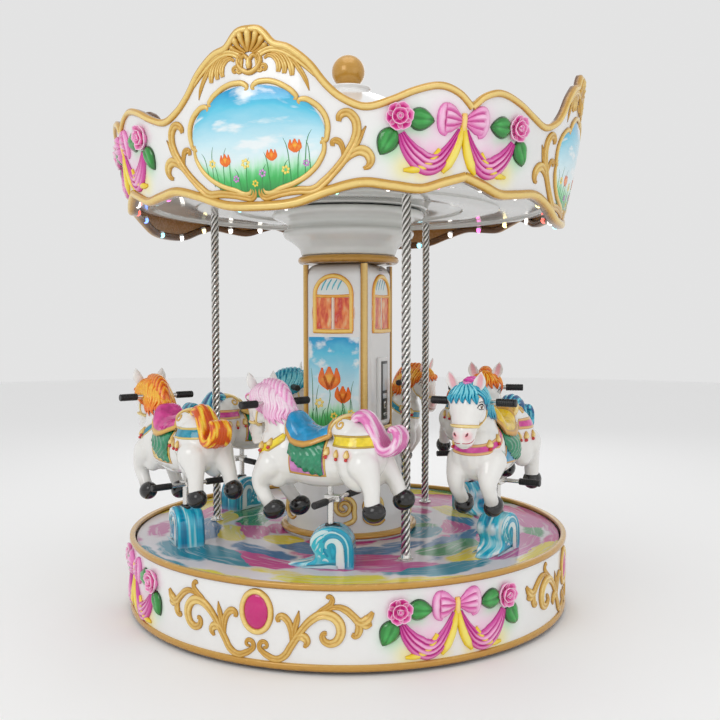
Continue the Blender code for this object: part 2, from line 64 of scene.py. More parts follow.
CREST_FLARE = 0.06
CORNICE_WALL = 0.014
CORNICE_TOP_EDGE = ((0.0, 2.182), (2.5, 2.175), (5.0, 2.13), (8.0, 2.112), (12.0, 2.06), (15.0, 1.995), (18.0, 1.95),
    (22.5, 1.922), (27.0, 1.94), (33.0, 1.982), (38.0, 2.001), (42.0, 1.982), (45.0, 1.94))
CORNICE_BOTTOM_EDGE = ((0.0, 1.604), (8.0, 1.612), (16.0, 1.652), (22.5, 1.676), (29.0, 1.667), (35.0, 1.66),
    (40.0, 1.684), (45.0, 1.708))
WALL_MEAN = 0.95
MEDALLION_HEIGHT = 1.82
SCROLL_HEIGHT = 1.817
CANOPY_GARLAND = 43.4
CANOPY_KNOT = 1.892
CANOPY_REACH = 232.0
LAMPS = 32
GOLD_RIM_STEPS = 192
COLUMN_HALF_WIDTH = 0.155
COLUMN_CORNER = 0.06
WAVE_HALF_WIDTH = 0.055
SEATS = 6
FIRST_SEAT = -96.0


# Working in Blender
def only(obj):
    """Selects one object and nothing else."""
    bpy.ops.object.select_all(action="DESELECT")
    obj.select_set(True)
    bpy.context.view_layer.objects.active = obj


def edit(obj, mode="VERT", everything=False):
    only(obj)
    bpy.ops.object.mode_set(mode="EDIT")
    bpy.ops.mesh.select_mode(type=mode)
    if everything:
        bpy.ops.mesh.select_all(action="SELECT")


def leave():
    bpy.ops.object.mode_set(mode="OBJECT")


def pick_edges(obj, test):
    only(obj)
    mesh = obj.data
    for part in (mesh.vertices, mesh.edges, mesh.polygons):
        part.foreach_set("select", [False] * len(part))
    for edge in mesh.edges:
        edge.select = test(*(mesh.vertices[i].co for i in edge.vertices))
    edit(obj, "EDGE")


def settle(obj):
    """Bakes the object's place into its mesh."""
    only(obj)
    bpy.ops.object.transform_apply(location=True, rotation=True, scale=True)
    return obj


def apply(obj, kind, **values):
    """Adds a modifier with these values and applies it."""
    only(obj)
    modifier = obj.modifiers.new(kind.lower(), kind)
    for name, value in values.items():
        setattr(modifier, name, value)
    bpy.ops.object.modifier_apply(modifier=modifier.name)
    return obj


def smooth(obj, angle=None):
    """Smooths the whole piece, or all but the edges sharper than an angle."""
    only(obj)
    if angle is None:
        bpy.ops.object.shade_smooth()
    else:
        bpy.ops.object.shade_smooth_by_angle(angle=radians(angle))
    return obj


def tidy(obj, angle=40.0):
    """Merges doubles, turns the faces outwards and smooths all but the sharp edges."""
    edit(obj, everything=True)
    bpy.ops.mesh.remove_doubles(threshold=0.00002)
    bpy.ops.mesh.normals_make_consistent(inside=False)
    leave()
    return smooth(obj, angle)


def join(objects, name):
    bpy.ops.object.select_all(action="DESELECT")
    for obj in objects:
        obj.select_set(True)
    bpy.context.view_layer.objects.active = objects[0]
    if len(objects) > 1:
        bpy.ops.object.join()
    objects[0].name = name
    return objects[0]


def grid(columns, rows, size=1.0):
    bpy.ops.mesh.primitive_grid_add(x_subdivisions=columns, y_subdivisions=rows, size=size)
    return bpy.context.object


def sphere(segments, rings, radius=1.0, **where):
    bpy.ops.mesh.primitive_uv_sphere_add(segments=segments, ring_count=rings, radius=radius, **where)
    return bpy.context.object


def thicken(obj, thickness, **more):
    """Gives a sheet its thickness, inwards."""
    return apply(obj, "SOLIDIFY", thickness=thickness, offset=-1.0, **more)


def copy_of(obj, name):
    """A copy with its own mesh."""
    twin = obj.copy()
    twin.data = obj.data.copy()
    twin.name = name
    bpy.context.scene.collection.objects.link(twin)
    return twin


def drop(*objects):
    for obj in objects:
        bpy.data.objects.remove(obj, do_unlink=True)


def reshape(obj, change):
    """Moves each vertex to where change(place) says."""
    for vertex in obj.data.vertices:
        vertex.co = change(vertex.co)
    obj.data.update()
    return obj


def moved(obj, x=0.0, y=0.0, z=0.0):
    return reshape(obj, lambda co: co + Vector((x, y, z)))


def store(obj, name, values):
    """Stores a number from 0 to 1 on each vertex for the paint to read."""
    layer = obj.data.attributes.get(name) or obj.data.attributes.new(name, "FLOAT", "POINT")
    layer.data.foreach_set("value", values)
    return obj


def mark(obj, name, value):
    """Stores what value(place) says on each vertex."""
    return store(obj, name, [value(vertex.co) for vertex in obj.data.vertices])


def place(obj, name, body, material, replaces=()):
    """Names the finished piece, paints it and lets it ride on its body."""
    obj.name = name
    obj.data.name = name
    if material is not None:
        obj.data.materials.clear()
        obj.data.materials.append(material)
    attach(obj, body)
    if replaces:
        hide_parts(*replaces)
    return obj


def repaint(name, material):
    """Paints a CAD node that the scene keeps."""
    CAD[name].data.materials.clear()
    CAD[name].data.materials.append(material)


def polar(radius, azimuth, height=0.0):
    angle = radians(azimuth)
    return Vector((radius * cos(angle), radius * sin(angle), height))


def ramp(low, high, value):
    """0 below low, 1 above high, smooth in between."""
    t = min(1.0, max(0.0, (value - low) / (high - low)))
    return t * t * (3.0 - 2.0 * t)


def along(points, t):
    """A point of a smooth curve through the points, t from 0 to 1."""
    spans = len(points) - 1
    k = min(int(t * spans), spans - 1)
    f = t * spans - k
    p = [Vector(points[min(max(k + d, 0), spans)]) for d in (-1, 0, 1, 2)]
    return 0.5 * (2.0 * p[1] + (p[2] - p[0]) * f + (2.0 * p[0] - 5.0 * p[1] + 4.0 * p[2] - p[3]) * f * f
        + (3.0 * p[1] - p[0] - 3.0 * p[2] + p[3]) * f ** 3)


def drawn(points):
    """Extrudes one vertex along (x, z) points, and stays in edit mode with the line selected."""
    bpy.ops.mesh.primitive_plane_add(size=0.01)
    obj = bpy.context.object
    edit(obj, everything=True)
    bpy.ops.mesh.merge(type="CENTER")
    bpy.ops.transform.translate(value=(points[0][0], 0.0, points[0][1]))
    for (x0, z0), (x1, z1) in zip(points, points[1:]):
        bpy.ops.mesh.extrude_region_move(TRANSFORM_OT_translate={"value": (x1 - x0, 0.0, z1 - z0)})
    bpy.ops.mesh.select_all(action="SELECT")
    return obj


def lathe(profile, steps=GOLD_RIM_STEPS, sharp=40.0, closed=False):
    """Spins a profile of (radius, height) points round the axis."""
    obj = drawn(list(profile) + ([profile[0]] if closed else []))
    bpy.ops.mesh.spin(steps=steps, angle=2.0 * pi, center=(0.0, 0.0, 0.0), axis=(0.0, 0.0, 1.0))
    leave()
    return tidy(obj, sharp)


# Paints
def node(tree, kind, inputs=None, **settings):
    """Adds a node; each input is a number, a colour or another node's output."""
    made = tree.nodes.new(kind)
    for name, value in settings.items():
        setattr(made, name, value)
    for name, value in (inputs or {}).items():
        socket = made.inputs[name]
        if isinstance(value, bpy.types.NodeSocket):
            tree.links.new(value, socket)
        else:
            socket.default_value = value
    return made


def maths(tree, operation, a, b=0.0, clamp=False):
    return node(tree, "ShaderNodeMath", {0: a, 1: b}, operation=operation, use_clamp=clamp).outputs[0]


def blend(tree, factor, a, b, mode="MIX"):
    """Mixes two colours."""
    made = node(tree, "ShaderNodeMix", {0: factor, 6: a, 7: b}, data_type="RGBA", blend_type=mode)
    return made.outputs[2]


def colour_ramp(tree, factor, stops, interpolation="LINEAR"):
    made = node(tree, "ShaderNodeValToRGB", {0: factor})
    ramp_of = made.color_ramp
    ramp_of.interpolation = interpolation
    while len(ramp_of.elements) < len(stops):
        ramp_of.elements.new(0.5)
    for element, (position, colour) in zip(ramp_of.elements, stops):
        element.position = position
        element.color = (*colour, 1.0)
    return made.outputs[0]


def noise(tree, where, scale, detail=2.0, distortion=0.0):
    """Cloudy noise from 0 to 1."""
    return node(tree, "ShaderNodeTexNoise",
        {"Vector": where, "Scale": scale, "Detail": detail, "Distortion": distortion}).outputs[0]


def smoothstep(tree, value, low, high):
    """From 0 to 1 between two values, smoothly."""
    return node(tree, "ShaderNodeMapRange", {0: value, 1: low, 2: high}, interpolation_type="SMOOTHSTEP").outputs[0]


def around_half(tree, value, amount):
    """A value less a half, times an amount."""
    return maths(tree, "MULTIPLY", maths(tree, "SUBTRACT", value, 0.5), amount)


def spot(tree, scale=(1.0, 1.0, 1.0)):
    """Object coordinates, scaled."""
    source = node(tree, "ShaderNodeTexCoord").outputs["Object"]
    return node(tree, "ShaderNodeMapping", {"Vector": source, "Scale": scale}).outputs[0]


def marked(tree, name):
    return node(tree, "ShaderNodeAttribute", attribute_name=name).outputs["Fac"]


def new_group(name, inputs, outputs):
    """A shader node group with number and colour sockets; returns its tree, inputs and output node."""
    tree = bpy.data.node_groups.new(name, "ShaderNodeTree")
    for label, kind, value in inputs:
        socket = tree.interface.new_socket(name=label, in_out="INPUT", socket_type=kind)
        socket.default_value = value
    for label, kind in outputs:
        tree.interface.new_socket(name=label, in_out="OUTPUT", socket_type=kind)
    return tree, node(tree, "NodeGroupInput").outputs, node(tree, "NodeGroupOutput").inputs


NUMBER, COLOUR, NORMAL = "NodeSocketFloat", "NodeSocketColor", "NodeSocketVector"


def gelcoat_group():
    """Sprayed gelcoat: faint mottling, a changing gloss and a slight waviness."""
    tree, given, out = new_group("gelcoat", [("Colour", COLOUR, (1, 1, 1, 1)),
        ("Mottle", NUMBER, 0.04), ("Gloss", NUMBER, 0.12), ("Ripple", NUMBER, 0.06)],
        [("Colour", COLOUR), ("Roughness", NUMBER), ("Normal", NORMAL)])
    place_of = spot(tree)
    cloud = noise(tree, place_of, 7.0, 5.0)
    fine = noise(tree, place_of, 90.0, 2.0)
    shade = maths(tree, "MULTIPLY", maths(tree, "SUBTRACT", 0.62, cloud), given["Mottle"])
    dim = maths(tree, "SUBTRACT", 1.0, maths(tree, "MULTIPLY", shade, 4.0, True), True)
    grey = node(tree, "ShaderNodeCombineColor", {0: dim, 1: dim, 2: dim}).outputs[0]
    tree.links.new(blend(tree, 1.0, given["Colour"], grey, "MULTIPLY"), out["Colour"])
    rough = maths(tree, "ADD", maths(tree, "MULTIPLY", fine, 0.1), given["Gloss"])
    tree.links.new(rough, out["Roughness"])
    height = maths(tree, "ADD", cloud, maths(tree, "MULTIPLY", fine, 0.08))
    bump = node(tree, "ShaderNodeBump", {"Height": height, "Strength": given["Ripple"], "Distance": 0.004})
    tree.links.new(bump.outputs[0], out["Normal"])
    return tree


def shaded_relief_group():
    """Relief paint with painted light: painted shade in the hollows and a painted highlight on the crests, by the
    mark on each vertex.
    """
    tree, given, out = new_group("shaded_relief_paint", [("Hollow", COLOUR, (0.2, 0.1, 0.02, 1)),
        ("Body", COLOUR, (0.6, 0.36, 0.1, 1)), ("Crest", COLOUR, (0.9, 0.72, 0.4, 1)), ("Brush", NUMBER, 0.15)],
        [("Colour", COLOUR), ("Roughness", NUMBER), ("Normal", NORMAL)])
    relief = marked(tree, "relief")
    streak = noise(tree, spot(tree, (1.0, 1.0, 2.5)), 55.0, 4.0)
    level = maths(tree, "ADD", relief, around_half(tree, streak, given["Brush"]))
    low = smoothstep(tree, level, 0.05, 0.45)
    high = smoothstep(tree, level, 0.55, 1.05)
    body = blend(tree, low, given["Hollow"], given["Body"])
    tree.links.new(blend(tree, high, body, given["Crest"]), out["Colour"])
    tree.links.new(maths(tree, "ADD", maths(tree, "MULTIPLY", streak, 0.16), 0.16), out["Roughness"])
    bump = node(tree, "ShaderNodeBump", {"Height": streak, "Strength": 0.12, "Distance": 0.002})
    tree.links.new(bump.outputs[0], out["Normal"])
    return tree


GELCOAT = gelcoat_group()
SHADED_RELIEF = shaded_relief_group()


def new_paint(name, coat=0.0, metallic=0.0, **sockets):
    """An empty material with its constants on the shader's own sockets."""
    material = bpy.data.materials.new(name)
    material.use_nodes = True
    tree = material.node_tree
    shader = tree.nodes["Principled BSDF"]
    shader.inputs["Metallic"].default_value = metallic
    shader.inputs["Coat Weight"].default_value = coat
    shader.inputs["Coat Roughness"].default_value = 0.06
    for label, value in sockets.items():
        shader.inputs[label.replace("_", " ")].default_value = value
    return material, tree, shader


def put_on(tree, shader, group, colour=None, **values):
    """Puts a paint group in front of the shader."""
    made = node(tree, "ShaderNodeGroup", node_tree=group)
    for label, value in values.items():
        made.inputs[label].default_value = value
    if colour is not None:
        if isinstance(colour, bpy.types.NodeSocket):
            tree.links.new(colour, made.inputs["Colour"])
        else:
            made.inputs["Colour"].default_value = (*colour, 1.0)
    tree.links.new(made.outputs["Colour"], shader.inputs["Base Color"])
    tree.links.new(made.outputs["Roughness"], shader.inputs["Roughness"])
    tree.links.new(made.outputs["Normal"], shader.inputs["Normal"])
    return made


def gelcoat(name, colour, mottle=0.03, gloss=0.08, ripple=0.05, coat=0.4, metallic=0.0):
    material, tree, shader = new_paint(name, coat, metallic)
    put_on(tree, shader, GELCOAT, colour, Mottle=mottle, Gloss=gloss, Ripple=ripple)
    return material


# Paints with painted shade in the hollows and a painted highlight on the crests of the relief.
def shaded_relief_paint(name, hollow, body, crest, brush=0.15, coat=0.4, metallic=0.0):
    material, tree, shader = new_paint(name, coat, metallic)
    put_on(tree, shader, SHADED_RELIEF, Hollow=(*hollow, 1.0), Body=(*body, 1.0), Crest=(*crest, 1.0), Brush=brush)
    return material


# Gold paints: brown painted shade in the hollows, pale painted highlight on the crests.
GOLD = shaded_relief_paint("gold_relief", (0.12, 0.042, 0.003), (0.58, 0.31, 0.04), (0.88, 0.65, 0.22), 0.25, 0.35, 0.15)
GOLD_RIM = shaded_relief_paint("gold_rim", (0.12, 0.045, 0.004), (0.54, 0.28, 0.042), (0.8, 0.55, 0.18), 0.25, 0.35, 0.15)
WHITE = gelcoat("white_gelcoat", (0.84, 0.84, 0.83))
# Painted shade: the white ceiling is given a grey colour for the shade under the canopy.
SHADED_CEILING_WHITE = gelcoat("shaded_ceiling_gelcoat", (0.62, 0.63, 0.6), 0.05, 0.06, 0.1)
INNER_GOLD = gelcoat("inner_gold", (0.44, 0.2, 0.055), 0.1, 0.22, 0.12)
ROSE_PINK = shaded_relief_paint("rose_pink", (0.72, 0.02, 0.3), (0.9, 0.24, 0.55), (0.97, 0.74, 0.86), 0.1)
BOW_PINK = shaded_relief_paint("bow_pink", (0.5, 0.02, 0.26), (0.82, 0.22, 0.54), (0.94, 0.58, 0.78), 0.15)
RIBBON_PINK = shaded_relief_paint("ribbon_pink", (0.36, 0.005, 0.17), (0.66, 0.06, 0.36), (0.92, 0.46, 0.7), 0.15)
RIBBON_YELLOW = shaded_relief_paint("ribbon_yellow", (0.6, 0.26, 0.0), (0.86, 0.62, 0.01), (0.94, 0.8, 0.16), 0.15)
KNOT_YELLOW = shaded_relief_paint("knot_yellow", (0.62, 0.24, 0.02), (0.88, 0.5, 0.06), (0.96, 0.72, 0.25), 0.1)
LEAF_GREEN = shaded_relief_paint("leaf_green", (0.0, 0.05, 0.004), (0.002, 0.22, 0.016), (0.05, 0.45, 0.08), 0.15, 0.7)
GEM_PINK = gelcoat("gem_magenta", (0.58, 0.0, 0.17), 0.12, 0.04, 0.03, 0.7)
# Painted shade: a greyer copy of the white gelcoat for the capital, which sits in the shade under the ceiling.
SHADED_CAPITAL_WHITE = gelcoat("shaded_capital_gelcoat", (0.72, 0.73, 0.7), 0.05, 0.06, 0.1)
FRAME_GREY = gelcoat("frame_enamel", (0.1, 0.105, 0.11), 0.15, 0.35, 0.2, 0.1)
BLACK_PLASTIC = gelcoat("black_plastic", (0.018, 0.017, 0.017), 0.2, 0.25, 0.1, 0.2)
SCREEN_GREY = gelcoat("light_grey_panel", (0.55, 0.57, 0.58), 0.06, 0.12, 0.05)


def steel_paint(name, colour, roughness, scratch, shaded_grooves=False):
    """Bright stainless steel with faint draw lines along the tube, and painted shade in marked grooves."""
    material, tree, shader = new_paint(name, 0.0, 1.0)
    lines = noise(tree, spot(tree, (1.0, 1.0, 0.05)), 260.0, 3.0)
    smear = noise(tree, spot(tree), 9.0)
    tone = blend(tree, maths(tree, "MULTIPLY", smear, 0.5), (*colour, 1.0), (0.45, 0.42, 0.38, 1.0))
    if shaded_grooves:
        # Painted shade: the marked grooves of the twisted tube are painted near black.
        tone = blend(tree, marked(tree, "relief"), (0.1, 0.095, 0.085, 1.0), tone)
    tree.links.new(tone, shader.inputs["Base Color"])
    rough = maths(tree, "ADD", maths(tree, "MULTIPLY", lines, scratch), roughness)
    tree.links.new(rough, shader.inputs["Roughness"])
    bump = node(tree, "ShaderNodeBump", {"Height": lines, "Strength": 0.05, "Distance": 0.001})
    tree.links.new(bump.outputs[0], shader.inputs["Normal"])
    return material


STEEL = steel_paint("polished_steel", (0.8, 0.79, 0.77), 0.1, 0.16)
TWISTED_STEEL = steel_paint("twisted_steel", (0.86, 0.85, 0.82), 0.12, 0.16, True)
BEARING_STEEL = steel_paint("bearing_steel", (0.45, 0.45, 0.45), 0.25, 0.25)


def deck_paint():
    """White gelcoat with bold brush strokes that run round the deck."""
    material, tree, shader = new_paint("deck_strokes", 0.1, Specular_IOR_Level=0.22)
    axes = node(tree, "ShaderNodeSeparateXYZ", {0: spot(tree)}).outputs
    flat = node(tree, "ShaderNodeCombineXYZ", {0: axes[0], 1: axes[1]}).outputs[0]
    radius = node(tree, "ShaderNodeVectorMath", {0: flat}, operation="LENGTH").outputs["Value"]
    turn = node(tree, "ShaderNodeVectorMath", {0: flat}, operation="NORMALIZE").outputs[0]
    warp = noise(tree, spot(tree), 3.5, 2.0)
    wavy = maths(tree, "ADD", radius, around_half(tree, warp, 0.1))
    ringed = node(tree, "ShaderNodeVectorMath", {0: turn, "Scale": 1.9}, operation="SCALE").outputs[0]
    split = node(tree, "ShaderNodeSeparateXYZ", {0: ringed}).outputs
    sheet = node(tree, "ShaderNodeCombineXYZ",
        {0: split[0], 1: split[1], 2: maths(tree, "MULTIPLY", wavy, 8.0)}).outputs[0]
    edge = node(tree, "ShaderNodeTexNoise", {"Vector": spot(tree), "Scale": 14.0, "Detail": 3.0}).outputs["Color"]
    nudge = node(tree, "ShaderNodeVectorMath", {0: edge, 1: (0.5, 0.5, 0.5)}, operation="SUBTRACT").outputs[0]
    nudged = node(tree, "ShaderNodeVectorMath", {0: nudge, 1: (0.28, 0.28, 0.28), 2: sheet},
        operation="MULTIPLY_ADD").outputs[0]
    cells = node(tree, "ShaderNodeTexVoronoi", {"Vector": nudged, "Scale": 1.0, "Randomness": 0.85})
    pick = node(tree, "ShaderNodeSeparateColor", {0: cells.outputs["Color"]}).outputs[0]
    colour = colour_ramp(tree, pick,
        ((0.0, (0.52, 0.03, 0.23)), (0.2, (0.0, 0.12, 0.3)), (0.38, (0.01, 0.24, 0.06)), (0.52, (0.7, 0.56, 0.01)),
        (0.68, (0.48, 0.06, 0.27)), (0.82, (0.0, 0.21, 0.3)), (0.93, (0.68, 0.6, 0.02))), "CONSTANT")
    mask = smoothstep(tree, cells.outputs["Distance"], 0.66, 0.56)
    bristle = node(tree, "ShaderNodeMapping", {"Vector": sheet, "Scale": (2.0, 2.0, 9.0)}).outputs[0]
    thin = noise(tree, bristle, 1.0, 3.0)
    cover = maths(tree, "MULTIPLY", mask, node(tree, "ShaderNodeMapRange", {0: thin, 1: 0.22, 2: 0.46}).outputs[0])
    painted = blend(tree, maths(tree, "MULTIPLY", cover, 0.97), (0.66, 0.62, 0.65, 1.0), colour)
    put_on(tree, shader, GELCOAT, painted, Mottle=0.05, Gloss=0.14, Ripple=0.05)
    return material


DECK_STROKES = deck_paint()


def tinted_wall():
    """White wall with soft sprayed halos, by the marks on its vertices."""
    material, tree, shader = new_paint("sprayed_wall", 0.5)
    colour = (0.86, 0.86, 0.85, 1.0)
    for name, tint in (("halo_green", (0.2, 0.72, 0.3, 1.0)), ("halo_yellow", (0.93, 0.84, 0.22, 1.0)),
            ("halo_pink", (0.93, 0.5, 0.74, 1.0))):
        colour = blend(tree, marked(tree, name), colour, tint)
    put_on(tree, shader, GELCOAT, colour, Mottle=0.03, Gloss=0.07, Ripple=0.05)
    return material


SPRAYED_WALL = tinted_wall()


# Moulded ornament, drawn flat in millimetres and then laid on the wall
def soft(profile, size, count=3):
    """Rounds the inner corners of a profile by a size in metres."""
    rounded = [profile[0]]
    for a, b, c in zip(profile, profile[1:], profile[2:]):
        a, b, c = Vector(a), Vector(b), Vector(c)
        before = b + (a - b).normalized() * min(size, (a - b).length * 0.45)
        after = b + (c - b).normalized() * min(size, (c - b).length * 0.45)
        for k in range(count + 1):
            t = k / count
            rounded.append(tuple(before * (1 - t) ** 2 + b * 2 * t * (1 - t) + after * t * t))
    return rounded + [profile[-1]]


def section(name, points):
    """A closed cross-section for mouldings: across, out, for half width one."""
    bpy.ops.curve.primitive_bezier_circle_add()
    obj = bpy.context.object
    curve = obj.data
    curve.splines.clear()
    curve.dimensions = "2D"
    line = curve.splines.new("POLY")
    line.points.add(len(points) - 1)
    for point, (across, out) in zip(line.points, points):
        point.co = (across, out, 0.0, 1.0)
    line.use_cyclic_u = True
    obj.name = name
    return obj


def both_sides(points):
    """A line from its left half, ending on the middle."""
    return points + [(-across, out) for across, out in reversed(points) if across != 0.0]


REED = section("reed",
    both_sides([(-1.0, -0.3), (-1.0, 0.12), (-0.82, 0.48), (-0.52, 0.66), (-0.25, 0.58), (0.0, 0.42)]))
BEAD = section("bead", both_sides([(-1.0, -0.25), (-1.0, 0.15), (-0.86, 0.52), (-0.5, 0.86), (0.0, 1.0)]))
BAND = section("band", both_sides([(-1.0, -0.1), (-1.0, 0.16), (-0.8, 0.26), (0.0, 0.34)]))
PLEAT = section("pleat",
    [(-1.0, -0.2), (-1.0, 0.1), (-0.84, 0.34), (-0.66, 0.4), (-0.5, 0.18), (-0.34, 0.46), (-0.16, 0.5), (0.0, 0.22),
    (0.18, 0.5), (0.34, 0.46), (0.5, 0.18), (0.66, 0.38), (0.84, 0.3), (1.0, 0.08), (1.0, -0.2)])
LOCK = section("lock", both_sides([(-1.0, -0.2), (-1.0, 0.1), (-0.8, 0.48), (-0.5, 0.62), (-0.2, 0.44), (0.0, 0.08)]))
SECTIONS = (REED, BEAD, BAND, PLEAT, LOCK)


def swept(paths, cyclic=False, **settings):
    """A mesh swept along smooth paths of (x, y, z, radius) in metres."""
    bpy.ops.curve.primitive_bezier_curve_add()
    obj = bpy.context.object
    curve = obj.data
    curve.splines.clear()
    for name, value in settings.items():
        setattr(curve, name, value)
    for path in paths:
        line = curve.splines.new("BEZIER")
        line.bezier_points.add(len(path) - 1)
        for point, (*middle, radius) in zip(line.bezier_points, path):
            point.co = middle
            point.radius = radius
            point.handle_left_type = point.handle_right_type = "AUTO"
        line.use_cyclic_u = cyclic
    only(obj)
    bpy.ops.object.convert(target="MESH")
    return tidy(bpy.context.object, 60.0)


def strokes(paths, shape, cyclic=False, fine=6):
    """Mouldings along smooth paths of (x, y, half width) points in millimetres."""
    obj = swept([[(x * MM, y * MM, 0.0, width * MM) for x, y, width in path] for path in paths],
        cyclic, dimensions="2D", fill_mode="NONE", resolution_u=fine, bevel_mode="OBJECT", bevel_object=shape,
        use_fill_caps=not cyclic)
    top = max(vertex.co.z for vertex in obj.data.vertices)
    # Relief mark from the profile's height: painted shade at the foot of each moulding, painted highlight on its top.
    return mark(obj, "relief", lambda co: max(0.0, co.z / top) ** 0.7)


def mirrored(paths, bold=1.0):
    """The paths, drawn bolder, and their mirror images across the middle."""
    return [[(side * x, y, width * bold) for x, y, width in path] for side in (1.0, -1.0) for path in paths]


def coil(x, y, radius, turns, end, thin, thick, steps=9):
    """A spiral from its eye out to a radius, where it stops at an angle."""
    count = max(3, round(abs(turns) * steps))
    path = []
    for k in range(count + 1):
        t = k / count
        angle = radians(end - 360.0 * turns * (1.0 - t))
        reach = radius * (0.14 + 0.86 * t)
        path.append((x + reach * cos(angle), y + reach * sin(angle), thin + (thick - thin) * t))
    return path


def on_round(obj, azimuth, height, radius_at, mean=WALL_MEAN):
    """Wraps a flat piece onto a round wall."""
    def lay(co):
        level = height + co.y
        reach = radius_at(level) + co.z
        return polar(reach, azimuth + degrees(co.x / mean), level)
    return reshape(obj, lay)


def on_face(obj, azimuth, height, distance):
    """Stands a flat piece upright against a wall whose distance from the axis is distance(x)."""
    out, side = polar(1.0, azimuth), polar(1.0, azimuth + 90.0)

    def lay(co):
        return side * co.x + out * (distance(co.x) + co.z) + Vector((0.0, 0.0, height + co.y))
    return reshape(obj, lay)


def plate(width, height, columns, rows, thickness=0.004):
    """A flat sheet with its own picture coordinates, given a thickness."""
    obj = grid(columns, rows)
    obj.scale = (width, height, 1.0)
    return thicken(settle(obj), thickness)


def oval(half_width, half_height, columns=40, rows=40, dome=0.0, thickness=0.004):
    """An oval plate, domed in the middle, with square picture coordinates."""
    obj = grid(columns, rows, 2.0)

    def round_off(co):
        x, y = co.x * sqrt(1.0 - co.y ** 2 / 2.0), co.y * sqrt(1.0 - co.x ** 2 / 2.0)
        rise = sqrt(max(0.0, 1.0 - 0.98 * (x * x + y * y)))
        return Vector((x * half_width, y * half_height, dome * rise))
    return smooth(thicken(reshape(obj, round_off), thickness), 50.0)


def leaf(x, y, length, turn, width=0.62):
    """A glossy leaf with a sunk vein: foot, length in millimetres and heading."""
    obj = grid(12, 10)
    lean = Matrix.Rotation(radians(turn), 3, "Z")

    def form(co):
        t, side = co.x + 0.5, co.y * 2.0
        half = 0.5 * width * sin(pi * min(1.0, t * 0.98 + 0.02) ** 0.85) ** 0.75
        vein = 0.1 * (1.0 - exp(-(side / 0.16) ** 2)) + 0.03 * cos(9.0 * t - 3.0 * abs(side))
        rise = (0.04 + 0.2 * (1.0 - side * side) + vein * (1.0 - side ** 4)) * sin(pi * t) ** 0.5
        flat = lean @ Vector((t * length, side * half * length, 0.0))
        return Vector((x + flat.x, y + flat.y, rise * length * 0.62 - 1.0)) * MM
    reshape(obj, form)
    # Relief mark from the leaf's height: painted shade in the sunk vein and at the rim, painted highlight on the
    # swells.
    mark(obj, "relief", lambda co: min(1.0, max(0.0, co.z * 1000.0 / (length * 0.19))) ** 1.4)
    return smooth(thicken(obj, 0.004))


def petal(centre, size, turn, lift, tilt):
    """One cupped petal of a rose."""
    obj = sphere(14, 8)
    spin = Matrix.Rotation(radians(turn), 3, "Z") @ Matrix.Rotation(radians(tilt), 3, "Y")

    def form(co):
        cup = 0.45 * (co.x * co.x + co.y * co.y)
        frill = 0.08 * sin(5.0 * atan2(co.y, co.x))
        bent = Vector((co.x * (1.0 + frill) * 0.88, co.y, co.z * 0.2 + cup))
        return Vector((centre[0], centre[1], lift)) * MM + spin @ bent * (size * MM)
    # Relief mark: painted shade deep in the petal's cup, painted highlight towards its rim.
    mark(obj, "relief", lambda co: min(1.0, 0.1 + 0.95 * (co.x * co.x + co.y * co.y) ** 1.4))
    return reshape(obj, form)


def rose(x, y, size, turn=0.0):
    """A cabbage rose of three rings of petals round a bud."""
    petals = []
    for ring, (count, reach, petal_size, lift, tilt) in enumerate(((6, 0.62, 0.46, 0.05, -28.0),
            (5, 0.36, 0.36, 0.2, -40.0), (3, 0.15, 0.22, 0.34, -55.0))):
        for k in range(count):
            angle = 360.0 * k / count + 37.0 * ring + turn
            middle = (x + size * reach * cos(radians(angle)), y + size * reach * sin(radians(angle)))
            petals.append(petal(middle, size * petal_size, angle, size * lift, tilt))
    petals.append(petal((x, y), size * 0.15, turn, size * 0.42, 0.0))
    return smooth(join(petals, "rose"))


# One half of a garland about its knot, in millimetres; the other half mirrors it
SWAG = [(-205, -50, 9), (-182, -92, 17), (-150, -126, 23), (-112, -146, 24), (-78, -136, 20), (-50, -104, 15),
    (-26, -62, 10), (-10, -28, 7)]
SWAG_TAIL = [(-96, -128, 9), (-84, -150, 14), (-92, -168, 9)]
YELLOW_BANDS = [[(-76, -96, 6), (-96, -128, 9), (-124, -154, 10), (-160, -165, 9), (-192, -168, 4)],
    [(-4, -22, 6), (-12, -66, 10), (-24, -104, 12), (-42, -142, 12), (-60, -170, 5)]]
BOW_LOOP = [(-6, 0, 12), (-22, 2, 26), (-42, 4, 42), (-62, 6, 50), (-72, 6, 50)]
BOW_ROLL = [(-58, 50, 7), (-76, 42, 13), (-85, 6, 16), (-78, -34, 13), (-62, -46, 7)]
BOW_FOLD = [(-14, 10, 4), (-30, 22, 7), (-48, 30, 5)]


def garland(reach):
    """The flat pieces of a garland whose roses stand that far out, as name and piece."""
    shift = reach - 215.0

    def out(path):
        return [(x - shift * min(1.0, -x / 205.0), y, width) for x, y, width in path]
    leaves = []
    for side in (-1.0, 1.0):
        lead = side * (reach + 4)
        leaves.append(leaf(lead - side * 32, 0, 98, -4 if side < 0 else 184, 0.78))
        leaves.append(leaf(lead + side * 8, -34, 100, -118 if side < 0 else -62, 0.76))
    return {"swag": strokes(mirrored([out(SWAG), out(SWAG_TAIL)], 1.55), PLEAT, fine=8),
        "bands": strokes(mirrored([out(path) for path in YELLOW_BANDS], 1.4), BEAD, fine=8),
        "bow": join([strokes(mirrored([BOW_LOOP]), PLEAT, fine=8), strokes(mirrored([BOW_ROLL, BOW_FOLD]), BEAD)],
        "bow"), "knot": strokes([[(0, 26, 9), (0, 10, 12), (0, -12, 12), (0, -30, 10)]], BEAD),
        "leaves": join(leaves, "leaves"),
        "roses": join([rose(-reach, 0, 53, 10.0), rose(reach, 0, 53, 50.0)], "roses")}


